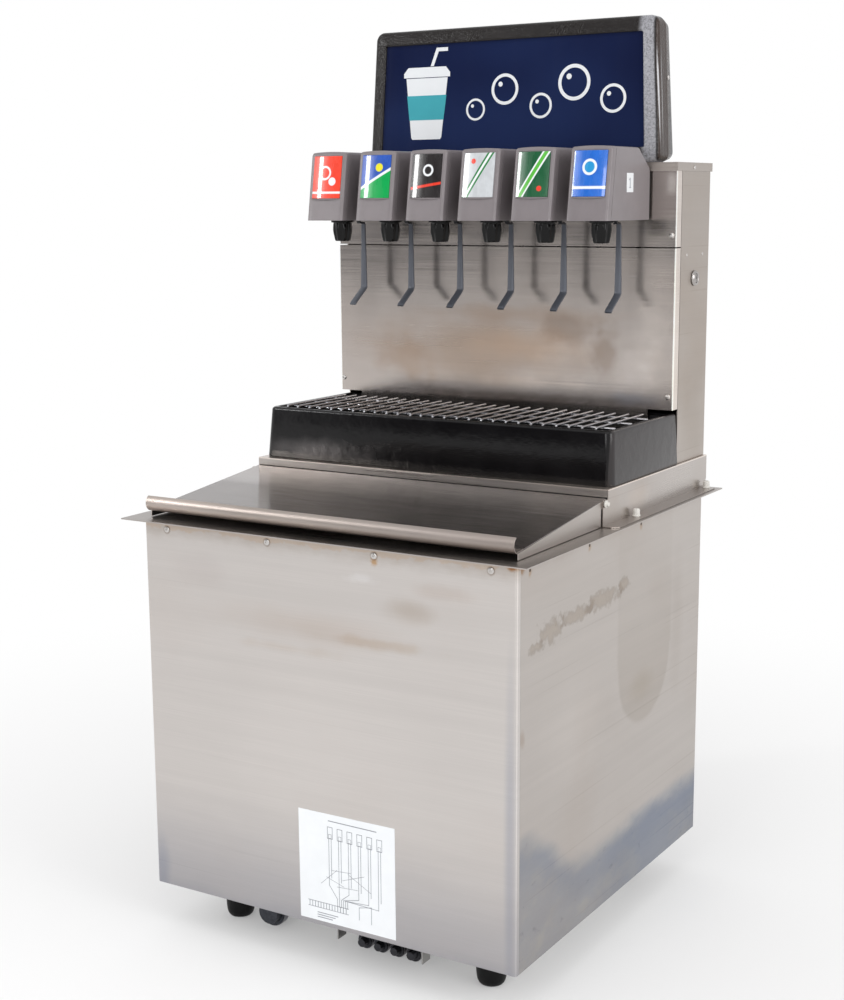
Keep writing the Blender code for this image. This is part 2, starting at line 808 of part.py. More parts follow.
def valve_cover(name, x, plastic):
    """A crowned hood, open below and behind, with a recess for the window."""
    edge = VALVE_HALF - 0.0030
    rings = [
        cover_ring(x - VALVE_HALF, 0.0026, 0),
        cover_ring(x - edge, 0, 0),
        cover_ring(x, 0, 0.0014),
        cover_ring(x + edge, 0, 0),
        cover_ring(x + VALVE_HALF, 0.0026, 0),
    ]
    cover = loft(name, rings, plastic)
    wall = 0.0025
    hollow = [
        (front_face(VALVE_FOOT - 0.01) + 0.0040, VALVE_FOOT - 0.01),
        (front_face(0.9500) + 0.0040, 0.9500),
        (0.4055, 0.9518),
        (VALVE_REAR - 0.0060, 0.9280),
        (VALVE_REAR + 0.01, 0.9180),
        (VALVE_REAR + 0.01, VALVE_FOOT - 0.01),
    ]
    half = VALVE_HALF - wall
    carve(cover, prism(name + "_hollow", place(hollow), "X", x - half, x + half))
    recess = [
        (front_face(WINDOW_FOOT) - 0.01, WINDOW_FOOT),
        (front_face(WINDOW_FOOT) + 0.0018, WINDOW_FOOT),
        (front_face(WINDOW_TOP) + 0.0018, WINDOW_TOP),
        (front_face(WINDOW_TOP) - 0.01, WINDOW_TOP),
    ]
    carve(cover, prism(name + "_recess", place(recess), "X", x - WINDOW_HALF, x + WINDOW_HALF))
    return cover


def valve_window(name, x, acrylic):
    """A lens that bulges forward from the cover's recess."""
    rings = []
    half = WINDOW_HALF - GAP
    low, high = WINDOW_FOOT + GAP, WINDOW_TOP - GAP
    steps = 8
    for step in range(steps + 1):
        across = -1 + 2 * step / steps
        bulge = 0.0006 + 0.0020 * (1 - across * across)
        path = [
            (front_face(low) + 0.0015, low),
            (front_face(high) + 0.0015, high),
            (front_face(high) - bulge, high),
            (front_face(low) - bulge, low),
        ]
        rings.append([(x + across * half, *point) for point in place(path)])
    return loft(name, rings, acrylic)


def valve_block(name, x, plastic):
    """The valve body on its backplate, with the nozzle socket and the lever's two ears."""
    body = box(
        name,
        (x - 0.0270, back(VALVE_REAR + 0.0006), up(0.8660)),
        (x + 0.0270, back(SPLASH_FRONT + 0.0008 - GAP), up(0.9248)),
        plastic,
    )
    low = (x - 0.0190, back(0.3360), up(0.8755))
    fuse(body, box(name + "_middle", low, (x + 0.0190, back(0.4410), up(0.9150))))
    low = (x - 0.0130, back(0.3480), up(0.9140))
    fuse(body, box(name + "_coil", low, (x + 0.0130, back(0.3980), up(0.9400))))
    centre = (x, back(NOZZLE_BACK))
    fuse(body, rod(name + "_socket", "Z", centre, 0.0165, up(0.8640), up(0.8770), 20))
    pivot = (back(LEVER_BACK), up(LEVER_HEIGHT))
    for side in (-1, 1):
        faces = sorted((x + side * 0.0045, x + side * 0.0080))
        low = (faces[0], pivot[0] - 0.0055, pivot[1] - 0.0045)
        high = (faces[1], pivot[0] + 0.0055, up(0.8770))
        fuse(body, box(f"{name}_ear_{side}", low, high))
    carve(body, rod(name + "_bore", "Z", centre, 0.0132, up(0.8600), up(0.8800), 20))
    carve(body, rod(name + "_pivot", "X", pivot, 0.0026, x - 0.0100, x + 0.0100, 12))
    return body


def valve_nozzle(name, x, plastic):
    """A fluted spout whose neck twists into the socket, with a shallow diffuser in its mouth."""
    centre = (x, back(NOZZLE_BACK))
    steps = 16
    levels = [
        (0.0122, 0.8785, 0),
        (0.0122, 0.8628, 0),
        (0.0160, 0.8628, 0),
        (0.0160, 0.8602, 0),
        (0.0128, 0.8598, 0),
        (0.0128, 0.8575, 0.0006),
        (0.0126, 0.8500, 0.0010),
        (0.0103, 0.8358, 0.0007),
        (0.0098, 0.8347, 0),
        (0.0084, 0.8347, 0),
        (0.0080, 0.8375, 0),
    ]
    rings = []
    for radius, height, flute in levels:
        outline = circle(radius, steps, centre, 8 if flute else 0, flute)
        rings.append(along("Z", up(height), outline))
    nozzle = smooth(loft(name, rings, plastic))
    return turn_about(nozzle, centre[0], centre[1], 0)


def valve_lever(name, x, steel):
    """A cranked strip that widens downward and hangs from its own cross pin."""
    path = [
        (LEVER_BACK, LEVER_HEIGHT + 0.0030),
        (LEVER_BACK, 0.8618),
        (LEVER_BACK + 0.0025, 0.8590),
        (0.4062, 0.8590),
        (0.4090, 0.8560),
        (0.4090, 0.7672),
        (0.3815, 0.7480),
        (0.3790, 0.7472),
    ]
    halves = [0.0030, 0.0030, 0.0030, 0.0030, 0.0030, 0.0047, 0.0048, 0.0048]
    outline = folded(place(path), 0.0028)
    count = len(path)
    rings = []
    for index, half in enumerate(halves):
        a, b = outline[index], outline[2 * count - 1 - index]
        rings.append([(x - half, *a), (x + half, *a), (x + half, *b), (x - half, *b)])
    lever = loft(name, rings, steel)
    pivot = (back(LEVER_BACK), up(LEVER_HEIGHT))
    fuse(lever, rod(name + "_pin", "X", pivot, 0.0022, x - 0.0078, x + 0.0078, 12))
    return lever, pivot


def valves(grey, black, acrylic, steel):
    for index in range(VALVE_COUNT):
        x = (index - (VALVE_COUNT - 1) / 2) * VALVE_PITCH
        name = f"valve_{index + 1}_"
        valve_block(name + "block", x, black)
        valve_cover(name + "cover", x, grey)
        valve_window(name + "window", x, acrylic)
        valve_nozzle(name + "nozzle", x, black)
        lever, pivot = valve_lever(name + "lever", x, steel)
        axis = bpy.data.objects.new(name + "lever_axis", None)
        axis.location = (x, pivot[0], pivot[1])
        bpy.context.scene.collection.objects.link(axis)
        for piece in [lever] + [step.object for step in lever.modifiers]:
            piece.parent = axis
            piece.location = (-x, -pivot[0], -pivot[1])


def build():
    for old in list(bpy.data.objects):
        bpy.data.objects.remove(old)
    steel = material("stainless_sheet", (0.62, 0.60, 0.57), 1.0, 0.32)
    bright = material("chrome_wire", (0.75, 0.75, 0.76), 1.0, 0.15)
    aluminium = material("cast_aluminium", (0.66, 0.67, 0.68), 1.0, 0.45)
    lever_steel = material("lever_steel", (0.16, 0.18, 0.21), 0.9, 0.35)
    black = material("black_plastic", (0.012, 0.012, 0.013), 0.0, 0.25)
    textured = material("black_textured_plastic", (0.02, 0.019, 0.018), 0.0, 0.45)
    grey = material("taupe_plastic", (0.20, 0.18, 0.18), 0.0, 0.40)
    acrylic = material("printed_acrylic", (0.03, 0.05, 0.12), 0.0, 0.08)
    rubber = material("black_rubber", (0.010, 0.010, 0.010), 0.0, 0.60)
    nylon = material("white_nylon", (0.75, 0.74, 0.70), 0.0, 0.45)
    foam = material("cream_foam", (0.75, 0.68, 0.48), 0.0, 0.90)
    lamp_look = material("white_lamp", (0.80, 0.80, 0.78), 0.0, 0.30)

    jacket(steel)
    base_pan(steel)
    bin_liner(steel)
    bin_insulation(foam)
    cold_plate(aluminium)
    drain_fitting(black)
    inlet_manifold(steel)
    feet(rubber)

    counter_flange(steel)
    deck_collar(steel)
    bin_lid(steel)
    hinge_pins(nylon)
    drip_tray(black)
    cup_rest_grille(bright)

    tower_shell(steel)
    splash_panels(steel)
    tower_cap(steel)
    key_switch(bright, steel)
    soda_lines(black)
    sign(textured, acrylic, lamp_look)
    valves(grey, black, acrylic, lever_steel)


build()
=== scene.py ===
import math
import random

import bmesh
import bpy
from mathutils import Matrix, Vector

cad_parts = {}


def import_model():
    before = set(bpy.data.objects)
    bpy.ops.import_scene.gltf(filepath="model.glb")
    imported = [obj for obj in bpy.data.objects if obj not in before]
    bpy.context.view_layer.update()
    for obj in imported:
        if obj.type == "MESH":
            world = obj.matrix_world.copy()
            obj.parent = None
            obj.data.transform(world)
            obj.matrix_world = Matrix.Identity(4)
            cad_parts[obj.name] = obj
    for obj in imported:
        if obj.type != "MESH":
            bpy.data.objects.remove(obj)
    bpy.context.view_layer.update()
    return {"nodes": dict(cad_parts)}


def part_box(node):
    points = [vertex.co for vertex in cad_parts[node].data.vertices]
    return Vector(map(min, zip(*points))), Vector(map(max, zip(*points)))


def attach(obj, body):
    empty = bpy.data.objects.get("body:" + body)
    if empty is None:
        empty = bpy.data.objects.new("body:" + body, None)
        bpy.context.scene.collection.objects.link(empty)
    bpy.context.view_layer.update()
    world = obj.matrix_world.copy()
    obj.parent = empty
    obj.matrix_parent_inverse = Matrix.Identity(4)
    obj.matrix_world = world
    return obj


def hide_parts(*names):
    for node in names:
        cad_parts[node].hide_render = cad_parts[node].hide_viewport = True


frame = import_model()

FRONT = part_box("jacket_front_panel")[0].y
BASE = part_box("jacket_front_panel")[0].z
SIDE = 0.27
SHEET = 0.0012
FRONT_RIVETS = (-0.2335, -0.0762, 0.0796, 0.2361)
BARB_COLUMNS = [0.01 + column * 0.0245 for column in range(4)]
SIGN_FOOT, SIGN_TOP = 0.937, 1.1265
SIGN_HALF, SIGN_TAPER = 0.227, 0.0085
SIGN_FACE, SIGN_LEAN = 0.467, 0.007
PRINT_THICK = 0.00012
dice = random.Random(7)


def back(distance):
    """World y, at a distance behind the jacket's front."""
    return FRONT + distance


def up(height):
    """World z, at a height over the jacket's lower edge."""
    return BASE + height


def place(points):
    return [(back(a), up(b)) for a, b in points]


# Shapes


def added(name, data):
    made = bpy.data.objects.new(name, data)
    bpy.context.scene.collection.objects.link(made)
    return made


def piece(name, verts, faces, look, body=None, slot=None, replaces=(), angle=40, bevel=0, shift=0):
    """One mesh object, shaded smooth under an angle, riding on a body."""
    mesh = bpy.data.meshes.new(name)
    mesh.from_pydata([tuple(v) for v in verts], [], faces)
    edit = bmesh.new()
    edit.from_mesh(mesh)
    bmesh.ops.recalc_face_normals(edit, faces=edit.faces)
    edit.to_mesh(mesh)
    edit.free()
    made = added(name, mesh)
    made.location.x = shift
    if look:
        mesh.materials.append(look.material)
    finish_edges(made, angle, bevel)
    if body:
        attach(made, body)
    if replaces:
        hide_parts(*replaces)
    return made


def smooth(made, angle):
    made.data.shade_smooth()
    made.data.set_sharp_from_angle(angle=math.radians(angle))


def bevelled(made, width, angle):
    step = made.modifiers.new("edges", "BEVEL")
    step.width, step.segments = width, 2
    step.limit_method, step.angle_limit = "ANGLE", math.radians(angle)
    return step


def finish_edges(made, angle, bevel):
    smooth(made, angle)
    if bevel:
        bevelled(made, bevel, angle).harden_normals = True


def skin(rings, closed=False):
    """Vertices and faces that join equal rings one to the next, capped unless closed."""
    count = len(rings[0])
    verts = [p for ring in rings for p in ring]
    faces = []
    for i in range(len(rings) if closed else len(rings) - 1):
        a, b = i * count, (i + 1) % len(rings) * count
        for s in range(count):
            t = (s + 1) % count
            faces.append((a + s, a + t, b + t, b + s))
    if not closed:
        faces.append(tuple(range(count)))
        faces.append(tuple(range(len(verts) - count, len(verts))))
    return verts, faces


def merged(parts):
    """Several (verts, faces) as one."""
    verts, faces = [], []
    for v, f in parts:
        start = len(verts)
        verts += v
        faces += [tuple(start + i for i in face) for face in f]
    return verts, faces


def across(axis, at, outline):
    """A flat outline's points, put at one place along an axis."""
    if axis == "X":
        return [(at, a, b) for a, b in outline]
    if axis == "Y":
        return [(a, at, b) for a, b in outline]
    return [(a, b, at) for a, b in outline]


def prism(outline, axis, start, end):
    return skin([across(axis, start, outline), across(axis, end, outline)])


def slab(low, high):
    """A box's vertices and faces, from its two corners."""
    outline = [(low[0], low[1]), (high[0], low[1]), (high[0], high[1]), (low[0], high[1])]
    return prism(outline, "Z", low[2], high[2])


def ring_of(radius, steps, centre=(0, 0)):
    turns = [2 * math.pi * s / steps for s in range(steps)]
    return [(centre[0] + radius * math.cos(t), centre[1] + radius * math.sin(t)) for t in turns]


def turned(axis, centre, profile, steps=40):
    """A capped stack of circles. The profile lists (radius, place on the axis)."""
    return skin([across(axis, at, ring_of(r, steps, centre)) for r, at in profile])


def arc(centre, radius, start, end, steps):
    turns = [math.radians(start + (end - start) * s / steps) for s in range(steps + 1)]
    return [(centre[0] + radius * math.cos(t), centre[1] + radius * math.sin(t)) for t in turns]


def rounded(half, front, rear, radius, steps=10, far=None):
    """A rectangle's outline with round corners. Far is the rear corners' radius."""
    far = far or radius
    points = []
    for x, y, start, corner in (
        (-half + radius, front + radius, 180, radius),
        (half - radius, front + radius, 270, radius),
        (half - far, rear - far, 0, far),
        (-half + far, rear - far, 90, far),
    ):
        points += arc((x, y), corner, start, start + 90, steps)
    return points


def folded(path, thickness):
    """The closed outline of a sheet bent along a centre line."""
    sides = ([], [])
    for i, (a, b) in enumerate(path):
        before, after = path[max(i - 1, 0)], path[min(i + 1, len(path) - 1)]
        normals = []
        for p, q in ((before, (a, b)), ((a, b), after)):
            length = math.hypot(q[0] - p[0], q[1] - p[1])
            if length > 0:
                normals.append(((p[1] - q[1]) / length, (q[0] - p[0]) / length))
        n = (sum(m[0] for m in normals), sum(m[1] for m in normals))
        scale = thickness / 2 * len(normals) / (n[0] ** 2 + n[1] ** 2)
        for side, sign in zip(sides, (1, -1)):
            side.append((a + sign * scale * n[0], b + sign * scale * n[1]))
    return sides[0] + sides[1][::-1]


def eased(path, radius, steps=5):
    """A path of straight runs with each inner corner turned into a round bend."""
    points = [path[0]]
    for a, b, c in zip(path, path[1:], path[2:]):
        a, b, c = Vector(a), Vector(b), Vector(c)
        u, v = a - b, c - b
        reach = min(radius, u.length * 0.45, v.length * 0.45)
        p, q = b + u.normalized() * reach, b + v.normalized() * reach
        for s in range(steps + 1):
            t = s / steps
            points.append(tuple(p * (1 - t) ** 2 + b * 2 * t * (1 - t) + q * t * t))
    points.append(path[-1])
    return points


def tube(points, radius, steps=12):
    """A round wire along points, with domed ends."""
    rings = []
    points = [Vector(p) for p in points]
    normal = Vector((0.31, 0.17, 0.93))
    for i, p in enumerate(points):
        along = (points[min(i + 1, len(points) - 1)] - points[max(i - 1, 0)]).normalized()
        side = along.cross(normal).normalized()
        top = side.cross(along).normalized()
        shifts = [(0, 1.0)]
        if i == 0:
            shifts = [(-radius * 0.95, 0.25), (-radius * 0.6, 0.78), (0, 1.0)]
        if i == len(points) - 1:
            shifts = [(0, 1.0), (radius * 0.6, 0.78), (radius * 0.95, 0.25)]
        for shift, scale in shifts:
            outline = ring_of(radius * scale, steps)
            rings.append([tuple(p + along * shift + (side * a + top * b)) for a, b in outline])
    return skin(rings)


def cut(target, verts, faces):
    """Takes a solid out of a piece for good."""
    tool = piece("cutter", verts, faces, None)
    step = target.modifiers.new("cut", "BOOLEAN")
    step.object = tool
    step.operation = "DIFFERENCE"
    step.solver = "EXACT"
    bpy.context.view_layer.update()
    shaped = target.evaluated_get(bpy.context.evaluated_depsgraph_get())
    mesh = bpy.data.meshes.new_from_object(shaped)
    target.modifiers.remove(step)
    target.data = mesh
    bpy.data.objects.remove(tool)


# Materials


class Nodes:
    """Short calls that add nodes to a tree and read the point being shaded."""

    def __init__(self, tree, coordinates):
        self.tree = tree
        self.where = self.make("ShaderNodeTexCoord").outputs[coordinates]

    def make(self, kind, inputs=(), **settings):
        """A new node with these settings, its inputs fed by name or number."""
        node = self.tree.nodes.new(kind)
        for key, value in settings.items():
            setattr(node, key, value)
        for key, value in dict(inputs).items():
            self.feed(node.inputs[key], value)
        return node

    def feed(self, socket, value):
        if isinstance(value, bpy.types.NodeSocket):
            self.tree.links.new(value, socket)
        elif isinstance(value, (tuple, list)) and socket.type == "RGBA":
            socket.default_value = (*value[:3], 1)
        else:
            socket.default_value = value

    def math(self, operation, a, b=0.0, clamp=False):
        inputs = {0: a, 1: b}
        return self.make("ShaderNodeMath", inputs, operation=operation, use_clamp=clamp).outputs[0]

    def times(self, a, b):
        return self.math("MULTIPLY", a, b)

    def plus(self, a, b):
        return self.math("ADD", a, b)

    def minus(self, a, b):
        return self.math("SUBTRACT", a, b)

    def length(self, vector):
        return self.make("ShaderNodeVectorMath", {0: vector}, operation="LENGTH").outputs["Value"]

    def scaled(self, scale, turn=(0, 0, 0)):
        inputs = {"Vector": self.where, "Scale": scale, "Rotation": turn}
        return self.make("ShaderNodeMapping", inputs).outputs[0]

    def noise(self, scale, detail=3.0, roughness=0.5, turn=(0, 0, 0), distortion=0.0):
        """Noise from 0 to 1. The scale is per axis, so a brushed grain is a stretched noise."""
        inputs = {"Vector": self.scaled(scale, turn), "Scale": 1.0, "Detail": detail}
        inputs.update({"Roughness": roughness, "Distortion": distortion})
        return self.make("ShaderNodeTexNoise", inputs).outputs[0]

    def span(self, value, low, high, to_low=0.0, to_high=1.0):
        """A smooth step of a value between two limits."""
        inputs = {"Value": value, "From Min": low, "From Max": high, "To Min": to_low, "To Max": to_high}
        return self.make("ShaderNodeMapRange", inputs, interpolation_type="SMOOTHSTEP").outputs[0]

    def axis(self, name):
        return self.make("ShaderNodeSeparateXYZ", {0: self.where}).outputs[name]

    def mix(self, factor, a, b, blend="MIX"):
        inputs = {0: factor, 6: a, 7: b}
        return self.make("ShaderNodeMix", inputs, data_type="RGBA", blend_type=blend).outputs[2]

    def spot(self, centre, reach, soft=0.5, ragged=0.0, grain=40.0):
        """1 inside an ellipsoid, fading out to 0 past it, with a ragged edge."""
        inputs = {"Vector": self.where, "Location": centre, "Scale": reach}
        value = self.length(self.make("ShaderNodeMapping", inputs, vector_type="TEXTURE").outputs[0])
        if ragged:
            rough = self.minus(self.noise((grain,) * 3, 4), 0.5)
            value = self.plus(value, self.times(rough, ragged))
        return self.span(value, 1.0, 1.0 - soft)


class Look(Nodes):
    """A node material, built up in the order of its surface."""

    def __init__(self, name):
        self.material = bpy.data.materials.new(name)
        self.material.use_nodes = True
        super().__init__(self.material.node_tree, "Object")
        self.shader = self.tree.nodes["Principled BSDF"]
        self.colour = None

    def set(self, **values):
        for key, value in values.items():
            self.feed(self.shader.inputs[key.replace("_", " ")], value)

    def paint(self, factor, colour, blend="MIX"):
        self.colour = self.mix(factor, self.colour, colour, blend)
        self.set(Base_Color=self.colour)

    def stain(self, factor, tint):
        self.paint(factor, tint, "MULTIPLY")

    def bump(self, height, strength, distance=0.001):
        """Adds a bump over the ones before it."""
        inputs = {"Height": height, "Strength": strength, "Distance": distance}
        normal = self.shader.inputs["Normal"]
        if normal.links:
            inputs["Normal"] = normal.links[0].from_socket
        self.feed(normal, self.make("ShaderNodeBump", inputs).outputs[0])


def steel(name, tint, grain, rough=(0.27, 0.42), streak=0.1, blotch=0.1, bump=0.12, scratched=0.12):
    """Brushed stainless: fine lines along the sheet, soft blotches, a few long scratches."""
    look = Look(name)
    lines = look.noise(grain, 3, 0.65)
    broad = look.noise(tuple(g * 0.09 + 1.2 for g in grain), 3, 0.55)
    cloud = look.noise((3.1, 3.1, 4.3), 5, 0.55, distortion=0.4)
    dark, light = [c * (1 - streak) for c in tint], [min(1, c * (1 + streak)) for c in tint]
    colour = look.mix(look.span(lines, 0.3, 0.7), dark, light)
    colour = look.mix(look.span(broad, 0.3, 0.72, 0, 0.55), colour, [c * 0.93 for c in tint])
    warm = (tint[0] * 0.9, tint[1] * 0.84, tint[2] * 0.79)
    look.colour = look.mix(look.span(cloud, 0.46, 0.72, 0, blotch * 6), colour, warm)
    scratch = look.span(look.noise((2.2, 2.2, 260), 1, 0.3, turn=(0.35, 0.55, 0.2)), 0.71, 0.735)
    roughness = look.span(cloud, 0.3, 0.72, rough[0], rough[1])
    roughness = look.plus(roughness, look.times(look.span(lines, 0.3, 0.7), 0.07))
    roughness = look.math("ADD", roughness, look.times(scratch, scratched), True)
    look.set(Base_Color=look.colour, Metallic=1.0, Roughness=roughness)
    look.bump(lines, bump, 0.0004)
    return look


def plastic(name, tint, rough, grain=0.0, grain_size=1800.0, coat=0.0, wear=0.35, specular=0.5):
    """Moulded plastic with a faint mottle, rub marks and an optional pebble."""
    look = Look(name)
    mottle = look.span(look.noise((22, 22, 22), 4, 0.6), 0.35, 0.7)
    look.colour = look.mix(mottle, tint, [c * (1 + wear) + 0.0015 for c in tint])
    rub = look.noise((45, 45, 45), 3, 0.5)
    roughness = look.span(rub, 0.3, 0.75, rough * 0.92, min(1, rough * 1.1))
    look.set(Base_Color=look.colour, Roughness=roughness, Coat_Weight=coat, Coat_Roughness=0.06)
    look.set(Specular_IOR_Level=specular)
    look.bump(look.noise((grain_size,) * 3, 2, 0.5), 0.08 + grain, 0.0004)
    return look


def patches(look, face, rows):
    """Stains and painted reflections on an upright face. A row is x, height, half sizes, softness,
    raggedness, grain, tint.
    """
    for x, height, wide, tall, soft, ragged, grain, tint in rows:
        look.stain(look.spot((x, face, up(height)), (wide, 0.05, tall), soft, ragged, grain), tint)


def front_finish():
    """A painted blue-grey reflection towards the floor, painted shade with dirt under the flange, smears, a
    painted lighter reflection across the middle, painted highlights down the side edges, and a ring round
    each rivet.
    """
    look = steel("front_steel", (0.62, 0.584, 0.56), (7, 7, 900), (0.3, 0.4), 0.03, 0.03, 0.05)
    height = look.axis("Z")
    # Painted reflection: blue-grey towards the floor, deepest along the lower edge.
    low = look.plus(height, look.times(look.noise((9, 9, 30), 3), 0.03))
    look.stain(look.span(low, up(0.18), up(0.015), 0, 0.95), (0.7, 0.72, 0.77))
    look.stain(look.span(low, up(0.03), up(0.008), 0, 0.7), (0.82, 0.84, 0.88))
    # Painted shade with dirt: darker in a ragged band just under the flange.
    high = look.plus(height, look.times(look.noise((26, 26, 60), 4, 0.6), 0.028))
    look.stain(look.span(high, up(0.478), up(0.508), 0, 0.9), (0.76, 0.72, 0.68))
    peel = look.plus(height, look.times(look.noise((34, 34, 40), 5, 0.65), 0.03))
    look.stain(look.span(peel, up(0.4975), up(0.4995), 0, 0.55), (1.0, 0.86, 0.72))
    patches(look, FRONT, [
        (-0.02, 0.383, 0.185, 0.034, 0.9, 0.9, 9, (0.94, 0.9, 0.87)),
        (0.128, 0.421, 0.05, 0.022, 0.9, 1.1, 16, (0.86, 0.82, 0.78)),
        (0.075, 0.375, 0.105, 0.01, 0.9, 1.3, 34, (0.92, 0.86, 0.8)),
        (0.175, 0.447, 0.055, 0.012, 0.9, 1.2, 30, (0.93, 0.9, 0.88)),
        (-0.055, 0.352, 0.11, 0.01, 0.9, 1.3, 30, (0.95, 0.92, 0.89)),
        (0.06, 0.452, 0.03, 0.008, 0.9, 1.3, 50, (1.1, 1.12, 1.14)),
        (-0.19, 0.435, 0.06, 0.03, 0.9, 0.9, 20, (0.95, 0.94, 0.94)),
        # Painted reflection: a broad lighter patch across the middle.
        (0.0, 0.22, 0.2, 0.16, 0.95, 0.7, 7, (1.05, 1.05, 1.05)),
        # Painted reflection: blue-grey along the lower right edge and in the lower left corner.
        (0.2615, 0.16, 0.011, 0.3, 0.9, 0.2, 9, (0.78, 0.81, 0.88)),
        (-0.262, 0.02, 0.02, 0.06, 0.9, 0.5, 20, (0.8, 0.83, 0.9)),
        (0.0796, 0.474, 0.007, 0.007, 0.7, 0.9, 200, (0.86, 0.62, 0.4)),
        (0.264, 0.487, 0.009, 0.005, 0.8, 1.0, 220, (0.62, 0.36, 0.18)),
    ])
    for x in FRONT_RIVETS:
        ring = look.spot((x, FRONT, up(0.4812)), (0.0064, 0.02, 0.0068), 0.45, 0.3, 300)
        look.stain(ring, (0.66, 0.6, 0.55))
    # Painted highlight: a bright thin line down each side edge.
    for x in (-0.2697, 0.2697):
        edge = look.spot((x, FRONT, up(0.25)), (0.0014, 0.0022, 0.9), 0.5)
        look.stain(edge, (1.42, 1.42, 1.42))
    return look


def side_finish():
    """A painted blue reflection in a band near the floor, a smear and a long drop on the right, and darker
    steel just under the flange.
    """
    look = steel("side_steel", (0.5, 0.462, 0.434), (7, 7, 900), (0.3, 0.4), 0.03, 0.05, 0.05)
    distance, height = look.axis("Y"), look.axis("Z")
    # Painted reflection: a blue band near the floor with a wandering top, bluer towards the rear and the
    # bottom, mottled lighter and darker.
    hill = look.span(distance, back(0.17), back(0.015), 0.08, 0.158)
    wander = look.times(look.noise((14, 14, 30), 5, 0.55, distortion=0.5), 0.03)
    level = look.minus(look.minus(height, hill), wander)
    blue = look.span(level, up(0.004), up(-0.034))
    look.stain(blue, (0.7, 0.75, 0.83))
    for within, tint in (
        (look.span(distance, back(0.16), back(0.34), 0.0, 0.9), (0.74, 0.8, 0.9)),
        (look.span(level, up(-0.085), up(-0.03), 0.0, 0.8), (0.82, 0.87, 0.95)),
        (look.span(look.noise((16, 16, 26), 5, 0.6), 0.42, 0.7, 0.0, 0.9), (1.14, 1.09, 1.00)),
        (look.span(look.noise((42, 42, 70), 4, 0.6), 0.62, 0.74), (0.8, 0.8, 0.8)),
    ):
        look.stain(look.times(blue, within), tint)
    for along, high, wide, tall in (
        (0.045, 0.386, 0.022, 0.008),
        (0.082, 0.397, 0.04, 0.017),
        (0.15, 0.402, 0.055, 0.012),
        (0.225, 0.405, 0.06, 0.015),
        (0.285, 0.411, 0.022, 0.01),
    ):
        blot = look.spot((SIDE, back(along), up(high)), (0.03, wide, tall), 0.75, 1.8, 95)
        look.stain(blot, (0.84, 0.8, 0.75))
        look.stain(look.times(blot, look.minus(1.0, blot)), (0.5, 0.46, 0.42))
    lobe = look.spot((SIDE, back(0.355), up(0.3)), (0.05, 0.086, 0.092), 0.1, 0.1, 14)
    lane = look.math("ABSOLUTE", look.minus(distance, back(0.355)))
    lane = look.times(look.span(lane, 0.09, 0.08), look.span(height, up(0.296), up(0.304)))
    lane = look.times(lane, look.span(look.axis("X"), 0.1, 0.2))
    fade = look.span(height, up(0.46), up(0.22), 0.22, 1.0)
    look.stain(look.times(look.math("MAXIMUM", lobe, lane), fade), (0.87, 0.85, 0.825))
    # Darker in a ragged band just under the flange.
    edge = look.plus(height, look.times(look.noise((20, 20, 50), 4, 0.6), 0.024))
    look.stain(look.span(edge, up(0.484), up(0.506), 0, 0.8), (0.86, 0.82, 0.79))
    rows = [
        (0.345, 0.262, (0.05, 0.055, 0.03), 0.9, 0.5, 20, (0.92, 0.9, 0.86)),
        (0.46, 0.33, (0.05, 0.03, 0.14), 0.9, 0.5, 14, (0.94, 0.93, 0.92)),
        (0.14, 0.26, (0.05, 0.12, 0.1), 0.95, 0.7, 9, (1.07, 1.07, 1.07)),
        (0.012, 0.285, (0.05, 0.01, 0.014), 0.8, 0.8, 60, (0.86, 0.8, 0.76)),
        (0.01, 0.484, (0.01, 0.012, 0.007), 0.8, 0.9, 160, (0.74, 0.54, 0.38)),
    ]
    for along in (0.0295, 0.184, 0.336):
        rows.append((along, 0.48, (0.004, 0.0026, 0.0026), 0.4, 0.0, 40, (0.12, 0.08, 0.05)))
        rows.append((along, 0.477, (0.01, 0.006, 0.007), 0.9, 0.9, 200, (0.86, 0.72, 0.58)))
    for along, high, reach, soft, ragged, grain, tint in rows:
        look.stain(look.spot((SIDE, back(along), up(high)), reach, soft, ragged, grain), tint)
    return look


def collar_finish():
    """The deck: a painted highlight along its upper edge, and a brow in the drip tray's painted shadow."""
    look = steel("collar_steel", (0.5, 0.462, 0.435), (7, 7, 520), (0.22, 0.34), 0.04, 0.08, 0.04)
    edge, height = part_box("deck_collar")[1].z, look.axis("Z")
    # Painted highlight: a bright line along the upper edge.
    look.stain(look.span(height, edge - 0.0022, edge - 0.0008), (1.6, 1.56, 1.52))
    brow = look.span(height, edge - 0.002, edge - 0.0026)
    brow = look.times(look.span(look.axis("Y"), back(0.2272), back(0.2262)), brow)
    brow = look.times(brow, look.span(look.axis("X"), 0.262, 0.1, 0.35, 1.0))
    look.stain(brow, (0.46, 0.42, 0.39))
    glint = look.spot((0.268, back(0.33), up(0.515)), (0.02, 0.05, 0.02), 0.9, 0.6, 20)
    look.stain(glint, (1.12, 1.1, 1.08))
    return look


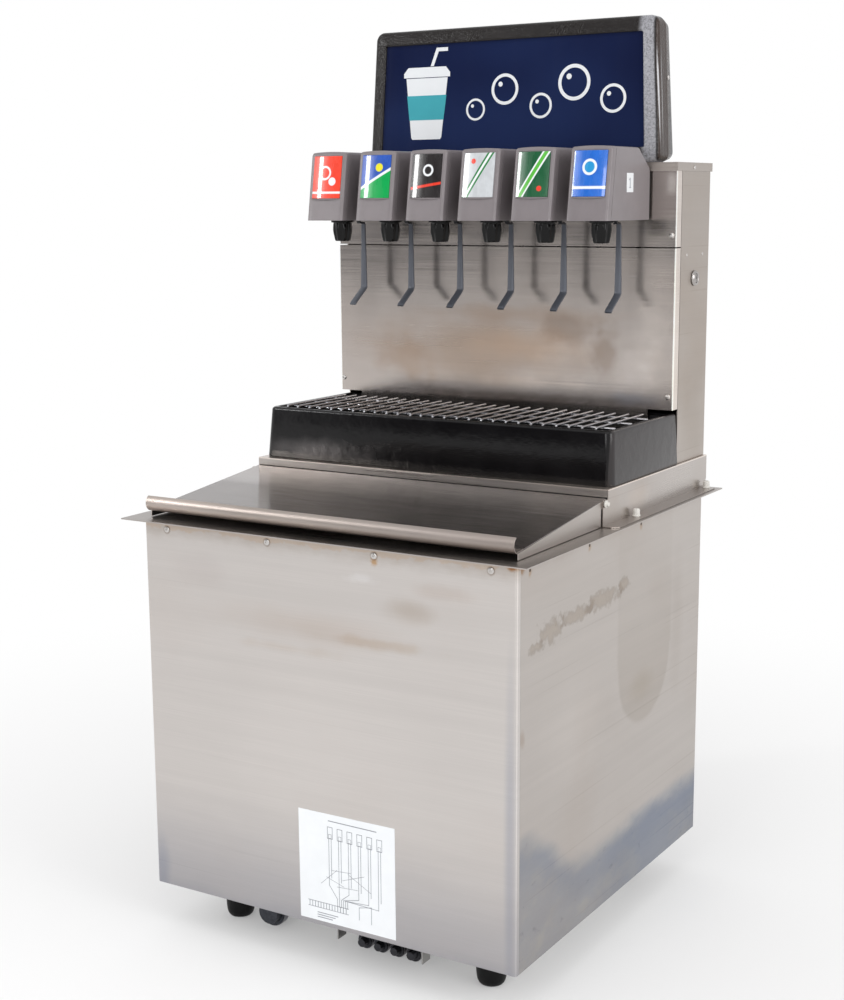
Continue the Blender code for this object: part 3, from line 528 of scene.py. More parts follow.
def lid_finish():
    """Smooth sheet with a painted reflection, darker to the right and lighter to the left, and a duller
    rolled pull.
    """
    look = steel("lid_steel", (0.43, 0.397, 0.378), (9, 520, 60), (0.1, 0.16), 0.04, 0.05, 0.02)
    # Painted reflection: darker to the right and lighter to the left.
    right = look.span(look.axis("X"), -0.12, 0.16)
    look.stain(right, (0.62, 0.62, 0.63))
    look.stain(look.span(look.axis("X"), -0.08, -0.24), (1.25, 1.25, 1.25))
    roll = look.span(look.axis("Y"), back(0.023), back(0.017))
    look.stain(roll, (0.95, 0.9, 0.86))
    # The pull is lifted back out of the painted darkening on the right.
    look.stain(look.times(roll, right), (1.45, 1.45, 1.45))
    rough = look.shader.inputs["Roughness"].links[0].from_socket
    rough = look.plus(rough, look.times(roll, 0.22))
    look.set(Roughness=look.plus(rough, look.times(look.noise((30, 30, 30), 5, 0.6), 0.05)))
    return look


def tower_finish():
    look = steel("tower_steel", (0.478, 0.434, 0.397), (7, 7, 700), (0.28, 0.38), 0.03, 0.08, 0.05)
    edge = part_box("tower_cap")[1].z
    look.stain(look.span(look.axis("Z"), edge - 0.0115, edge - 0.014), (0.95, 0.94, 0.93))
    shade = look.spot((0.26, back(0.52), up(0.6)), (0.03, 0.06, 0.1), 0.9, 0.6, 12)
    look.stain(shade, (0.9, 0.88, 0.86))
    return look


def splash_finish():
    """Painted highlights on the folded edges, brown splashes at cup height, and a dark band along the drip
    tray.
    """
    look = steel("splash_steel", (0.56, 0.508, 0.474), (5, 5, 900), (0.13, 0.22), 0.035, 0.06, 0.03, 0.03)
    # Painted highlight: the folded edges brighter, most of all at their front.
    fold = look.span(look.math("ABSOLUTE", look.axis("X")), 0.2628, 0.2631)
    look.stain(fold, (1.3, 1.3, 1.28))
    ahead = look.span(look.axis("Y"), back(0.45), back(0.447))
    look.stain(look.times(fold, ahead), (1.6, 1.6, 1.6))
    patches(look, back(0.444), [
        (-0.02, 0.685, 0.245, 0.068, 0.8, 0.9, 11, (0.86, 0.77, 0.69)),
        (-0.15, 0.668, 0.075, 0.05, 0.9, 1.2, 22, (0.88, 0.8, 0.73)),
        (0.02, 0.735, 0.2, 0.018, 0.9, 1.2, 16, (0.92, 0.86, 0.81)),
        (0.04, 0.69, 0.12, 0.035, 0.9, 1.2, 18, (1.1, 1.04, 0.98)),
        (0.11, 0.715, 0.06, 0.03, 0.8, 1.4, 30, (0.8, 0.75, 0.71)),
        (0.165, 0.69, 0.03, 0.045, 0.8, 1.4, 40, (0.78, 0.73, 0.69)),
        (0.06, 0.64, 0.13, 0.012, 0.9, 1.3, 26, (1.12, 1.1, 1.08)),
        (0.205, 0.66, 0.045, 0.05, 0.9, 1.0, 40, (1.16, 1.17, 1.18)),
        (0.235, 0.74, 0.034, 0.15, 0.9, 0.8, 50, (1.18, 1.18, 1.17)),
        (0.205, 0.626, 0.055, 0.014, 0.9, 0.9, 40, (0.84, 0.89, 0.98)),
        (-0.22, 0.76, 0.04, 0.07, 0.9, 0.8, 14, (0.9, 0.9, 0.9)),
        # A dark band along the drip tray.
        (0.0, 0.617, 0.27, 0.013, 0.9, 0.7, 30, (0.62, 0.58, 0.55)),
    ])
    return look


def lever_finish():
    look = steel("lever_look", (0.095, 0.103, 0.124), (600, 600, 30), (0.34, 0.44), 0.08, 0.06, 0.1)
    look.set(Metallic=0.35)
    look.stain(look.span(look.axis("Z"), up(0.856), up(0.86)), (0.1, 0.09, 0.09))
    return look


def gloss_finish():
    """The drip tray's black, slightly uneven, with a smoky painted reflection low on the left and a painted
    sheen on the right wall.
    """
    look = plastic("tray_gloss", (0.0036, 0.0032, 0.0036), 0.15, 0.02, 700, specular=0.26)
    look.bump(look.noise((60, 60, 60), 5, 0.65), 0.35, 0.0015)
    # Painted reflection: a smoky lighter patch low on the left of the front.
    smear = look.spot((-0.19, back(0.257), up(0.553)), (0.1, 0.02, 0.02), 0.9, 1.2, 26)
    look.paint(smear, (0.075, 0.07, 0.07))
    # Painted sheen: the right wall lighter.
    wall_sheen = look.times(look.span(look.axis("X"), 0.258, 0.26), 0.75)
    look.paint(wall_sheen, (0.045, 0.04, 0.04))
    return look


def pebble_finish():
    """The sign's textured black, with a mottled painted reflection in grey on the right of its face, and
    painted highlights along its edges.
    """
    look = plastic("sign_pebble", (0.009, 0.0068, 0.0062), 0.2, 0.0, 900, 0.0, 0.1, 0.32)
    inputs = {"Vector": look.scaled((560,) * 3), "Scale": 1.0}
    cells = look.make("ShaderNodeTexVoronoi", inputs, feature="SMOOTH_F1")
    look.bump(cells.outputs["Distance"], 0.6, 0.0008)
    look.set(Roughness=look.span(look.noise((90, 90, 90), 3), 0.3, 0.7, 0.17, 0.24))
    taper = look.times(look.span(look.axis("Z"), up(SIGN_FOOT), up(SIGN_TOP)), SIGN_TAPER)
    width = look.plus(look.axis("X"), taper)
    strip = look.times(look.span(width, 0.199, 0.208, 0, 0.95), look.span(width, 0.2235, 0.2205))
    # Painted reflection: a mottled grey strip on the right of the face.
    reflection_mottle = look.span(look.noise((420, 420, 420), 3, 0.6), 0.25, 0.62, 0.45, 1.0)
    look.paint(look.times(strip, reflection_mottle), (0.33, 0.33, 0.355))
    look.paint(look.span(width, 0.2235, 0.2255), (0.04, 0.027, 0.022))
    # Painted highlights: two bright lines down the outer side.
    for distance, height, wide, tall, strength in (
        (0.4765, 1.03, 0.0016, 0.098, 0.85),
        (0.4855, 1.022, 0.001, 0.09, 0.6),
    ):
        gleam = look.spot((0.2235, back(distance), up(height)), (0.009, wide, tall), 0.6, 0.15, 30)
        look.paint(look.times(gleam, strength), (0.62, 0.62, 0.64))
    return look


def fitting_finish():
    """Dark fittings with lighter ears and a lighter shoulder behind each barb."""
    look = steel("fitting_look", (0.07, 0.074, 0.086), (160, 160, 160), (0.28, 0.45), 0.25, 0.15)
    for x in (-0.01525, 0.11125):
        ear = look.spot((x, back(0.06), up(-0.03)), (0.0012, 0.02, 0.05), 0.2)
        look.paint(ear, (0.42, 0.41, 0.4))
    for x in BARB_COLUMNS:
        at = (x, back(0.0855), up(-0.035))
        look.paint(look.spot(at, (0.0105, 0.0045, 0.03), 0.3, 0.8, 120), (0.26, 0.27, 0.3))
    return look


def panel_finish():
    look = Look("sign_panel_look")
    glow = look.span(look.noise((2.6, 2.6, 5.5), 2, 0.5), 0.35, 0.7)
    colour = look.mix(glow, (0.006, 0.01, 0.04), (0.012, 0.022, 0.075))
    streaks = look.noise((60, 60, 1.5), 2, 0.5)
    look.set(Base_Color=colour, Roughness=look.span(streaks, 0.3, 0.8, 0.06, 0.14))
    look.bump(look.noise((9, 9, 9), 2), 0.05, 0.002)
    return look


def cast_finish():
    look = plastic("cast_aluminium_look", (0.6, 0.6, 0.61), 0.42, 0.5, 420)
    look.set(Metallic=1.0)
    return look


front_steel = front_finish()
side_steel = side_finish()
top_steel = steel("top_steel", (0.47, 0.437, 0.412), (7, 420, 420), (0.24, 0.36), 0.04, 0.06, 0.05)
collar_steel = collar_finish()
lid_steel = lid_finish()
lid_side_steel = steel("lid_side_steel", (0.5, 0.465, 0.44), (7, 7, 700), (0.26, 0.36), 0.05, 0.08)
tower_steel = tower_finish()
splash_steel = splash_finish()
inner_steel = steel("inner_steel", (0.58, 0.57, 0.56), (8, 8, 500), (0.28, 0.4), 0.06, 0.05)
bright_steel = steel("bright_steel", (0.42, 0.4, 0.39), (300,) * 3, (0.12, 0.22), 0.05, 0.05, 0.05)
fastener = steel("fastener_steel", (0.6, 0.58, 0.56), (500,) * 3, (0.22, 0.34), 0.1, 0.1, 0.1)
chrome = steel("chrome_wire_look", (0.44, 0.44, 0.46), (240, 900, 240), (0.18, 0.34), 0.15, 0.12, 0.15)
clamp_look = steel("clamp_look", (0.2, 0.2, 0.22), (300,) * 3, (0.25, 0.4), 0.2, 0.1)
fitting = fitting_finish()
lever_look = lever_finish()
gloss = gloss_finish()
pebble = pebble_finish()
black = plastic("black_plastic_look", (0.006, 0.0058, 0.0062), 0.3, 0.05, 900, specular=0.3)
spout = plastic("spout_black", (0.0026, 0.0024, 0.0026), 0.1, 0.0, 900, specular=0.22)
rubber = plastic("rubber_look", (0.002, 0.002, 0.0023), 0.45, 0.1, 500, specular=0.18)
taupe = plastic("cover_taupe", (0.182, 0.161, 0.167), 0.33, 0.06, 1500, 0.0, 0.1)
nylon = plastic("nylon_look", (0.62, 0.6, 0.56), 0.42, 0.05, 900, 0.0, 0.04)
paper = plastic("paper_look", (0.8, 0.82, 0.84), 0.7, 0.15, 500, 0.0, 0.04)
ink = plastic("ink_look", (0.22, 0.23, 0.26), 0.6, 0.05)
foam = plastic("foam_look", (0.72, 0.64, 0.42), 0.85, 0.8, 260, 0.0, 0.1)
lamp = plastic("lamp_look", (0.82, 0.82, 0.79), 0.18, 0.0, 300, 0.3, 0.03)
cast = cast_finish()
print_white = plastic("print_white", (0.78, 0.8, 0.82), 0.12, 0.0, 900, 0.8, 0.02)
print_teal = plastic("print_teal", (0.06, 0.36, 0.42), 0.12, 0.0, 900, 0.8, 0.05)
navy = panel_finish()


def recoat(nodes, look, bevel=0.0):
    """Gives CAD nodes their finish, and a fine bevel that catches the light."""
    for name in nodes:
        made = frame["nodes"][name]
        made.data.materials.clear()
        made.data.materials.append(look.material)
        made.data.polygons.foreach_set("material_index", [0] * len(made.data.polygons))
        if bevel:
            bevelled(made, bevel, 50)


recoat(["jacket_front_panel"], front_steel, 0.0004)
recoat(["jacket_wrap"], side_steel, 0.0004)
recoat(["counter_flange"], top_steel, 0.0004)
recoat(["deck_collar"], collar_steel, 0.0004)
recoat(["tower_shell", "tower_cap"], tower_steel, 0.0004)
recoat(["splash_panel_lower", "splash_panel_upper"], splash_steel, 0.0004)
recoat(["base_pan", "bin_liner"], inner_steel, 0.0003)
recoat(["inlet_manifold", "drain_fitting"], fitting, 0.0003)
recoat(["bin_insulation"], foam)
recoat(["cold_plate"], cast, 0.0008)
recoat(["soda_lines"], black)
recoat(["sign_lamp"], lamp)
recoat([f"valve_{i}_block" for i in range(1, 7)], black, 0.0005)


# The lid


LID_HALF, LID_FRONT, LID_REAR = 0.266, 0.0065, 0.2375
COLLAR_FRONT, HINGE_HEIGHT, JACKET_HEIGHT = 0.2255, 0.5225, 0.4925


def lid_height(distance):
    run = (distance - LID_FRONT) / (LID_REAR - LID_FRONT)
    return 0.503 - SHEET / 2 + run * 0.0255


def bin_lid():
    pull = arc((0.0092, 0.5125), 0.0102, 243, 118, 22)
    top = lid_height(LID_REAR)
    path = [(LID_REAR, top - 0.007)]
    path += eased([(LID_REAR, top - 0.004), (LID_REAR, top), (0.2, lid_height(0.2))], 0.002)[1:-1]
    path += pull
    sheet = prism(folded(place(path), SHEET), "X", -LID_HALF, LID_HALF)
    piece("lid", *sheet, lid_steel, "lid", "stainless_sheet", ["bin_lid"], 50, 0.0003)
    foot, ear = JACKET_HEIGHT + 0.0022, HINGE_HEIGHT - 0.0055
    side_path = [
        (0.0085, foot),
        (COLLAR_FRONT - 0.002, foot),
        (COLLAR_FRONT - 0.002, ear),
        (LID_REAR, ear),
        (LID_REAR, top),
        (0.0085, lid_height(0.0085)),
    ]
    for name, side in (("left", -1), ("right", 1)):
        low, high = sorted((side * (LID_HALF + 0.0001), side * (LID_HALF - SHEET)))
        wall = prism(place(side_path), "X", low, high)
        piece("lid_side_" + name, *wall, lid_side_steel, "lid", "stainless_sheet", (), 50, 0.0003)


def hinge_pins():
    profile = [(0.0025, 0.259), (0.0025, 0.2679), (0.0042, 0.2679)]
    profile += [(0.0046, 0.2684), (0.0048, 0.2692), (0.0047, 0.27), (0.0042, 0.2704)]
    profile += [(0.0031, 0.2706)]
    profile += [(0.0029, 0.272), (0.0027, 0.2729), (0.002, 0.2732)]
    for name, side in (("left", -1), ("right", 1)):
        sided = [(r, side * at) for r, at in profile]
        pin = turned("X", (back(0.231), up(HINGE_HEIGHT)), sided)
        piece("hinge_pin_" + name, *pin, nylon, "base", "white_nylon", ["lid_hinge_pin_" + name])


bin_lid()
hinge_pins()


# The drip tray and the cup rest


def drip_tray():
    """A moulded tub with a round rim, draft on its walls and a ledge for the cup rest."""
    low, high, wall = 0.5393, 0.608, 0.0085
    ledge = 0.6053
    levels = [(low, 0.0004, 0.01), (low + 0.0008, 0.0, 0.01)]
    levels += [(high - 0.017, 0.0, 0.01), (high - 0.004, 0.0, 0.01)]
    rim = arc((0.004, high - 0.004), 0.004, 165, 90, 6)
    levels += [(z, inset, 0.01 - inset * 0.4) for inset, z in rim]
    rim = arc((0.0, high - 0.0025), 0.0025, 90, 0, 5)
    levels += [(z, wall - 0.0025 + inset, 0.007) for inset, z in rim]
    levels += [(ledge + 0.0004, wall, 0.006), (ledge, wall + 0.0004, 0.006)]
    levels += [(ledge, wall + 0.0056, 0.006), (ledge - 0.0006, wall + 0.006, 0.006)]
    levels += [(low + 0.008, wall + 0.006, 0.006)]
    levels += [(low + 0.0065, wall + 0.007, 0.005), (low + 0.006, wall + 0.009, 0.004)]
    rings = []
    for height, inset, radius in levels:
        rise = (height - low) / (high - low)
        half = 0.2658 - 0.0042 * rise - inset
        front = 0.2547 + 0.0054 * rise + inset
        outline = rounded(half, back(front), back(0.4625 - inset), radius, 10, 0.0015)
        rings.append(across("Z", up(height), outline))
    piece("tray", *skin(rings), gloss, "base", "black_gloss_plastic", ["drip_tray"], 60)


def cup_rest():
    """Wires welded on three cross bars. Each wire is cut and laid a little differently."""
    count, half_span, radius, height = 27, 0.236, 0.0016, 0.61
    parts = []
    for i in range(count):
        x = -half_span + 2 * half_span * i / (count - 1) + dice.uniform(-0.0007, 0.0007)
        yaw = dice.uniform(-0.0009, 0.0009)
        rear = 0.412 - dice.choice((0, 0.001, 0.004, 0.007)) - dice.uniform(0, 0.001)
        sag = dice.uniform(-0.00025, 0.0001)
        path = [
            (x - yaw, back(0.2672 + dice.uniform(0, 0.001)), up(height - 0.0012)),
            (x - yaw, back(0.269), up(height - 0.0003)),
            (x - yaw * 0.8, back(0.272), up(height)),
            (x, back(0.34), up(height + sag)),
            (x + yaw, back(rear), up(height)),
        ]
        parts.append(tube(path, radius, 12))
    for distance in (0.29, 0.34, 0.39):
        path = [(x, back(distance), up(0.6072)) for x in (-0.2515, -0.12, 0, 0.12, 0.2515)]
        parts.append(tube(path, 0.0018, 12))
    wires = merged(parts)
    piece("cup_rest_wires", *wires, chrome, "cup_rest", "chrome_wire", ["cup_rest_grille"], 60)


drip_tray()
cup_rest()


# The sign


def sign_rise(height):
    """0 at the sign's foot and 1 at its top."""
    return (height - SIGN_FOOT) / (SIGN_TOP - SIGN_FOOT)


def sign_ring(foot_back, top_back, inset, radius):
    """One outline of the sign's box, narrower towards its top and free to lean."""
    points = []
    for x, z in rounded(1.0, SIGN_FOOT + inset, SIGN_TOP - inset, radius, 9):
        rise = sign_rise(z)
        half = SIGN_HALF - rise * SIGN_TAPER - inset
        distance = foot_back + rise * (top_back - foot_back)
        points.append((math.copysign(1, x) * (half - (1.0 - abs(x))), back(distance), up(z)))
    return points


def sign_point(x, height, proud):
    """A point in front of the display panel, which leans back."""
    return (x, back(SIGN_FACE + 0.0038 + SIGN_LEAN * sign_rise(height) - proud), up(height))


def decal(name, outline, look, proud):
    """A thin printed shape on the display panel, from its (x, height) outline."""
    rings = [[sign_point(x, z, p) for x, z in outline] for p in (proud, proud + PRINT_THICK)]
    piece(name, *skin(rings), look, "base", "sign_acrylic", (), 60)


def sign():
    """The frame round the panel, and the deeper box behind it."""
    split = 0.5
    levels = [(split, split, 0, 0.012), (0.48, 0.483, 0, 0.012)]
    front = []
    for s in range(8):
        t = math.pi / 2 * s / 7 * 0.86
        curl = 1 - math.cos(t)
        front.append((0.0028 + 0.0065 * (1 - math.sin(t)), 0.0065 * curl, 0.012 - 0.004 * curl))
    front += [(0.0026, 0.0064, 0.009), (0.0001, 0.018, 0.0032), (0.0, 0.0185, 0.003)]
    front += [(0.0006, 0.02, 0.0024), (0.002, 0.0205, 0.002), (0.0035, 0.0205, 0.002)]
    front += [(0.0035, 0.0035, 0.009)]
    for depth, inset, radius in front:
        levels.append((SIGN_FACE + depth, SIGN_FACE + SIGN_LEAN + depth, inset, radius))
    levels.append((split, split, 0.0035, 0.009))
    ring = skin([sign_ring(*level) for level in levels], True)
    piece("sign_frame", *ring, pebble, "base", "black_textured_plastic", ["sign_bezel"], 50)
    behind = split + 0.0003
    levels = [(0.532, 0.525, 0.011, 0.008), (0.5316, 0.5246, 0.0085, 0.009)]
    levels += [(0.53, 0.523, 0.0058, 0.01), (0.527, 0.5205, 0.004, 0.011)]
    levels += [(0.506, 0.506, 0.001, 0.012), (behind + 0.0008, behind + 0.0008, 0.0004, 0.012)]
    levels += [(behind, behind, 0.0008, 0.012), (behind, behind, 0.0035, 0.009)]
    levels += [(0.5285, 0.5215, 0.008, 0.008)]
    box = skin([sign_ring(*level) for level in levels])
    piece("sign_back", *box, pebble, "base", "black_textured_plastic", ["sign_housing"], 50)
    recoat(["sign_panel"], navy)


def sign_print():
    """A plain paper cup with a straw, and a row of bubbles."""
    centre = (-0.132, 1.03)
    cup = [(-0.034, 0.03), (0.034, 0.03), (0.025, -0.052), (0.023, -0.055), (-0.023, -0.055)]
    cup.append((-0.025, -0.052))
    lid = [(-0.038, 0.031), (0.038, 0.031), (0.038, 0.037), (0.031, 0.045), (-0.031, 0.045)]
    lid.append((-0.038, 0.037))
    band = [(-0.0325, 0.006), (0.0325, 0.006), (0.0282, -0.028), (-0.0282, -0.028)]
    straw = [(0.006, 0.046), (0.011, 0.046), (0.019, 0.066), (0.034, 0.066), (0.034, 0.071), (0.0155, 0.071)]
    for name, outline, look, proud in (
        ("print_cup", cup, print_white, 0.00005),
        ("print_cup_lid", lid, print_white, 0.00005),
        ("print_cup_band", band, print_teal, 0.0002),
        ("print_straw", straw, print_white, 0.00005),
    ):
        decal(name, [(centre[0] + x, centre[1] + z) for x, z in outline], look, proud)
    for i, (x, z, r) in enumerate((
        (-0.052, 1.014, 0.015),
        (-0.006, 1.04, 0.021),
        (0.05, 1.016, 0.017),
        (0.1, 1.045, 0.024),
        (0.158, 1.022, 0.019),
    )):
        rings = []
        for radius, proud in ((r, 0.00005), (r, 0.00017), (r * 0.8, 0.00017), (r * 0.8, 0.00005)):
            rings.append([sign_point(a, b, proud) for a, b in ring_of(radius, 48, (x, z))])
        piece(f"print_bubble_{i + 1}", *skin(rings, True), print_white, "base", "sign_acrylic", (), 60)
        glint = ring_of(r * 0.16, 24, (x - r * 0.33, z + r * 0.33))
        decal(f"print_glint_{i + 1}", glint, print_white, 0.00005)


sign()
sign_print()


# The valves


PITCH = 0.0796
VALVE_HALF, WINDOW_HALF = 0.02875, 0.023
WINDOW_FOOT, WINDOW_TOP = 0.893, 0.9505
VALVE_FRONT, VALVE_FOOT, VALVE_REAR, VALVE_LEAN = 0.3112, 0.8633, 0.4395, 0.1556


def face_at(height):
    """Distance back of the cover's leaning front."""
    return VALVE_FRONT + (height - VALVE_FOOT) * VALVE_LEAN


def cover_outline(shrink, crown):
    """The cover's side outline, with a round nose over the window."""
    top = 0.9548 + crown - shrink
    nose = (face_at(0.95) + shrink, 0.95)
    path = [(face_at(VALVE_FOOT) + shrink, VALVE_FOOT), nose]
    for s in range(1, 7):
        t = math.pi / 2 * s / 6
        path.append((nose[0] + 0.0045 * (1 - math.cos(t)), nose[1] + (top - nose[1]) * math.sin(t)))
    path += [(0.404, top), (0.4075, top - 0.001), (0.4095, top - 0.0032)]
    path += [(VALVE_REAR - 0.004, 0.931), (VALVE_REAR - 0.0012, 0.9285), (VALVE_REAR, 0.925)]
    path += [(VALVE_REAR, VALVE_FOOT)]
    return place(path)


def cover_mesh():
    """The hood of one valve, at x = 0, open below and behind."""
    radius = 0.003
    levels = []
    for s in range(6):
        t = math.pi / 2 * s / 5
        levels.append((-VALVE_HALF + radius * (1 - math.cos(t)), radius * (1 - math.sin(t))))
    levels += [(x, 0.0) for x in (-0.02, -0.013, -0.0065, 0.0)]
    levels += [(-x, shrink) for x, shrink in reversed(levels[:-1])]
    rings = []
    for x, shrink in levels:
        crown = 0.0014 * (1 - (x / VALVE_HALF) ** 2)
        rings.append(across("X", x, cover_outline(shrink, crown)))
    hood = piece("valve_hood", *skin(rings), taupe, angle=32)
    hollow = [
        (face_at(VALVE_FOOT - 0.01) + 0.004, VALVE_FOOT - 0.01),
        (face_at(0.949) + 0.004, 0.949),
        (0.4035, 0.9505),
        (VALVE_REAR - 0.007, 0.927),
        (VALVE_REAR + 0.01, 0.917),
        (VALVE_REAR + 0.01, VALVE_FOOT - 0.01),
    ]
    half = VALVE_HALF - 0.0025
    cut(hood, *prism(place(hollow), "X", -half, half))
    recess = []
    for depth in (-0.01, 0.0018):
        row = []
        for x, z in rounded(WINDOW_HALF, WINDOW_FOOT, WINDOW_TOP, 0.001, 3):
            row.append((x, back(face_at(z) + depth), up(z)))
        recess.append(row)
    cut(hood, *skin(recess))
    groove = [(0.0105, 0.85), (0.0105, 0.97), (0.0112, 0.97), (0.0112, 0.85)]
    groove = place([(face_at(height) + depth, height) for depth, height in groove])
    for side in (-1, 1):
        low, high = sorted((side * (VALVE_HALF - 0.00045), side * (VALVE_HALF + 0.01)))
        cut(hood, *prism(groove, "X", low, high))
    mesh = hood.data
    bpy.data.objects.remove(hood)
    return mesh


def sill_mesh():
    """The thin bowed ledge under the window."""
    rings = []
    for s in range(17):
        x = -WINDOW_HALF + 2 * WINDOW_HALF * s / 16
        bow = 0.0013 * (1 - (x / WINDOW_HALF) ** 2)
        low, high = WINDOW_FOOT - 0.0014 - bow * 0.8, WINDOW_FOOT + 0.0002
        a = face_at(low)
        path = [(a + 0.0006, low), (a - 0.0007 - bow * 0.7, low + 0.0006)]
        path += [(a - 0.0009 - bow * 0.7, high), (a + 0.0006, high)]
        rings.append(across("X", x, place(path)))
    return skin(rings)


def window_mesh():
    """The bulged lens over the label."""
    rings = []
    half, low, high = WINDOW_HALF - 0.0003, WINDOW_FOOT + 0.0003, WINDOW_TOP - 0.0003
    for s in range(33):
        u = -1 + 2 * s / 32
        bulge = 0.0006 + 0.002 * (1 - u * u)
        path = [(face_at(low) + 0.0015, low), (face_at(high) + 0.0015, high)]
        path += [(face_at(high) - bulge + 0.0004, high), (face_at(high) - bulge, high - 0.0005)]
        path += [(face_at(low) - bulge, low + 0.0005), (face_at(low) - bulge + 0.0004, low)]
        rings.append(across("X", u * half, place(path)))
    return skin(rings)


def nozzle_mesh():
    """A fluted spout under a round skirt."""
    levels = [(0.0122, 0.8785, 0), (0.0122, 0.863, 0), (0.0156, 0.863, 0), (0.016, 0.8626, 0)]
    levels += [(0.016, 0.8606, 0), (0.0156, 0.8602, 0), (0.013, 0.8599, 0), (0.0127, 0.859, 0.0003)]
    levels += [(0.0127, 0.8575, 0.0007), (0.0127, 0.85, 0.0011), (0.0121, 0.846, 0.0011)]
    levels += [(0.011, 0.84, 0.0009), (0.0104, 0.8362, 0.0007), (0.0101, 0.8352, 0.0003)]
    levels += [(0.0097, 0.8347, 0), (0.0086, 0.8347, 0), (0.0083, 0.835, 0), (0.008, 0.8375, 0)]
    rings = []
    for radius, height, flute in levels:
        outline = []
        for x, y in ring_of(1.0, 64):
            t = math.atan2(y, x)
            wave = math.copysign(abs(math.cos(8 * t)) ** 0.6, math.cos(8 * t))
            reach = radius + flute * wave
            outline.append((reach * math.cos(t), back(0.356) + reach * math.sin(t)))
        rings.append(across("Z", up(height), outline))
    return skin(rings)


def lever_mesh():
    """A cranked strip that widens downward, on its cross pin."""
    path = [(0.3965, 0.872), (0.3965, 0.859), (0.409, 0.859), (0.409, 0.7672)]
    path = eased(path + [(0.3818, 0.7482), (0.3792, 0.745)], 0.004, 7)
    outline = folded(place(path), 0.0028)
    section = [(-1, 0.7), (-0.86, 1), (0.86, 1), (1, 0.7), (1, -0.7), (0.86, -1), (-0.86, -1), (-1, -0.7)]
    rings = []
    for i, (_, height) in enumerate(path):
        half = 0.003 + 0.0018 * min(1.0, max(0.0, (0.856 - height) / 0.0888))
        a, b = outline[i], outline[-1 - i]
        mid = ((a[0] + b[0]) / 2, (a[1] + b[1]) / 2)
        ring = []
        for u, v in section:
            ring.append((u * half, mid[0] + (a[0] - mid[0]) * v, mid[1] + (a[1] - mid[1]) * v))
        rings.append(ring)
    pin = [(0.0019, -0.0078), (0.0022, -0.0075), (0.0022, 0.0075), (0.0019, 0.0078)]
    return merged([skin(rings), turned("X", (back(0.3965), up(0.869)), pin, 24)])


def label(name, base, shapes):
    """A printed label behind a clear lens. Shapes are (kind, numbers, colour) over u, v from -1 to 1."""
    look = Look(name)
    u = look.math("DIVIDE", look.axis("X"), WINDOW_HALF)
    v = look.minus(look.axis("Z"), up((WINDOW_FOOT + WINDOW_TOP) / 2))
    v = look.math("DIVIDE", v, (WINDOW_TOP - WINDOW_FOOT) / 2)
    mottle = look.span(look.noise((90, 90, 90), 3), 0.35, 0.7)
    look.colour = look.mix(mottle, base, [min(1, c * 1.12 + 0.004) for c in base])
    for kind, numbers, colour in shapes:
        if kind == "disc":
            a = look.minus(u, numbers[0])
            b = look.times(look.minus(v, numbers[1]), 1.25)
            far = look.math("SQRT", look.plus(look.times(a, a), look.times(b, b)))
            inside = look.span(far, numbers[2] + 0.02, numbers[2] - 0.02)
            if len(numbers) > 3:
                inside = look.times(inside, look.span(far, numbers[3] - 0.02, numbers[3] + 0.02))
        else:
            line = look.minus(look.minus(v, look.times(u, numbers[0])), numbers[1])
            inside = look.span(line, 0.02, -0.02)
            if kind == "band":
                inside = look.span(look.math("ABSOLUTE", line), numbers[2] + 0.02, numbers[2] - 0.02)
        look.paint(inside, colour)
    look.set(Roughness=look.span(look.noise((120, 120, 12), 2), 0.3, 0.8, 0.22, 0.34))
    look.set(Coat_Weight=1.0, Coat_Roughness=0.035, Coat_IOR=1.55)
    return look


WHITE, RED = (0.82, 0.84, 0.86), (0.78, 0.045, 0.02)
LABELS = [
    label("label_red", (0.82, 0.06, 0.03), [
        ("disc", (-0.1, 0.2, 0.42, 0.3), WHITE),
        ("disc", (0.42, -0.2, 0.24), WHITE),
        ("band", (0.0, -0.72, 0.05), WHITE),
    ]),
    label("label_green", (0.02, 0.085, 0.42), [
        ("below", (0.45, -0.1), (0.0, 0.36, 0.075)),
        ("band", (0.45, -0.1, 0.07), WHITE),
        ("disc", (0.25, 0.42, 0.24), (0.8, 0.72, 0.02)),
    ]),
    label("label_black", (0.013, 0.01, 0.01), [
        ("disc", (0.15, 0.25, 0.34, 0.22), WHITE),
        ("band", (0.12, -0.45, 0.06), RED),
    ]),
    label("label_silver", (0.52, 0.54, 0.56), [
        ("band", (1.3, 0.05, 0.26), (0.02, 0.2, 0.05)),
        ("band", (1.3, 0.05, 0.1), WHITE),
        ("disc", (-0.35, 0.62, 0.15), RED),
    ]),
    label("label_dark_green", (0.005, 0.09, 0.03), [
        ("band", (1.3, 0.0, 0.3), WHITE),
        ("band", (1.3, 0.0, 0.16), (0.1, 0.46, 0.05)),
        ("disc", (0.45, -0.62, 0.15), RED),
    ]),
    label("label_blue", (0.012, 0.13, 0.56), [
        ("disc", (0.0, 0.28, 0.44), WHITE),
        ("disc", (0.0, 0.28, 0.3), (0.02, 0.3, 0.62)),
        ("band", (0.0, -0.6, 0.06), WHITE),
    ]),
]


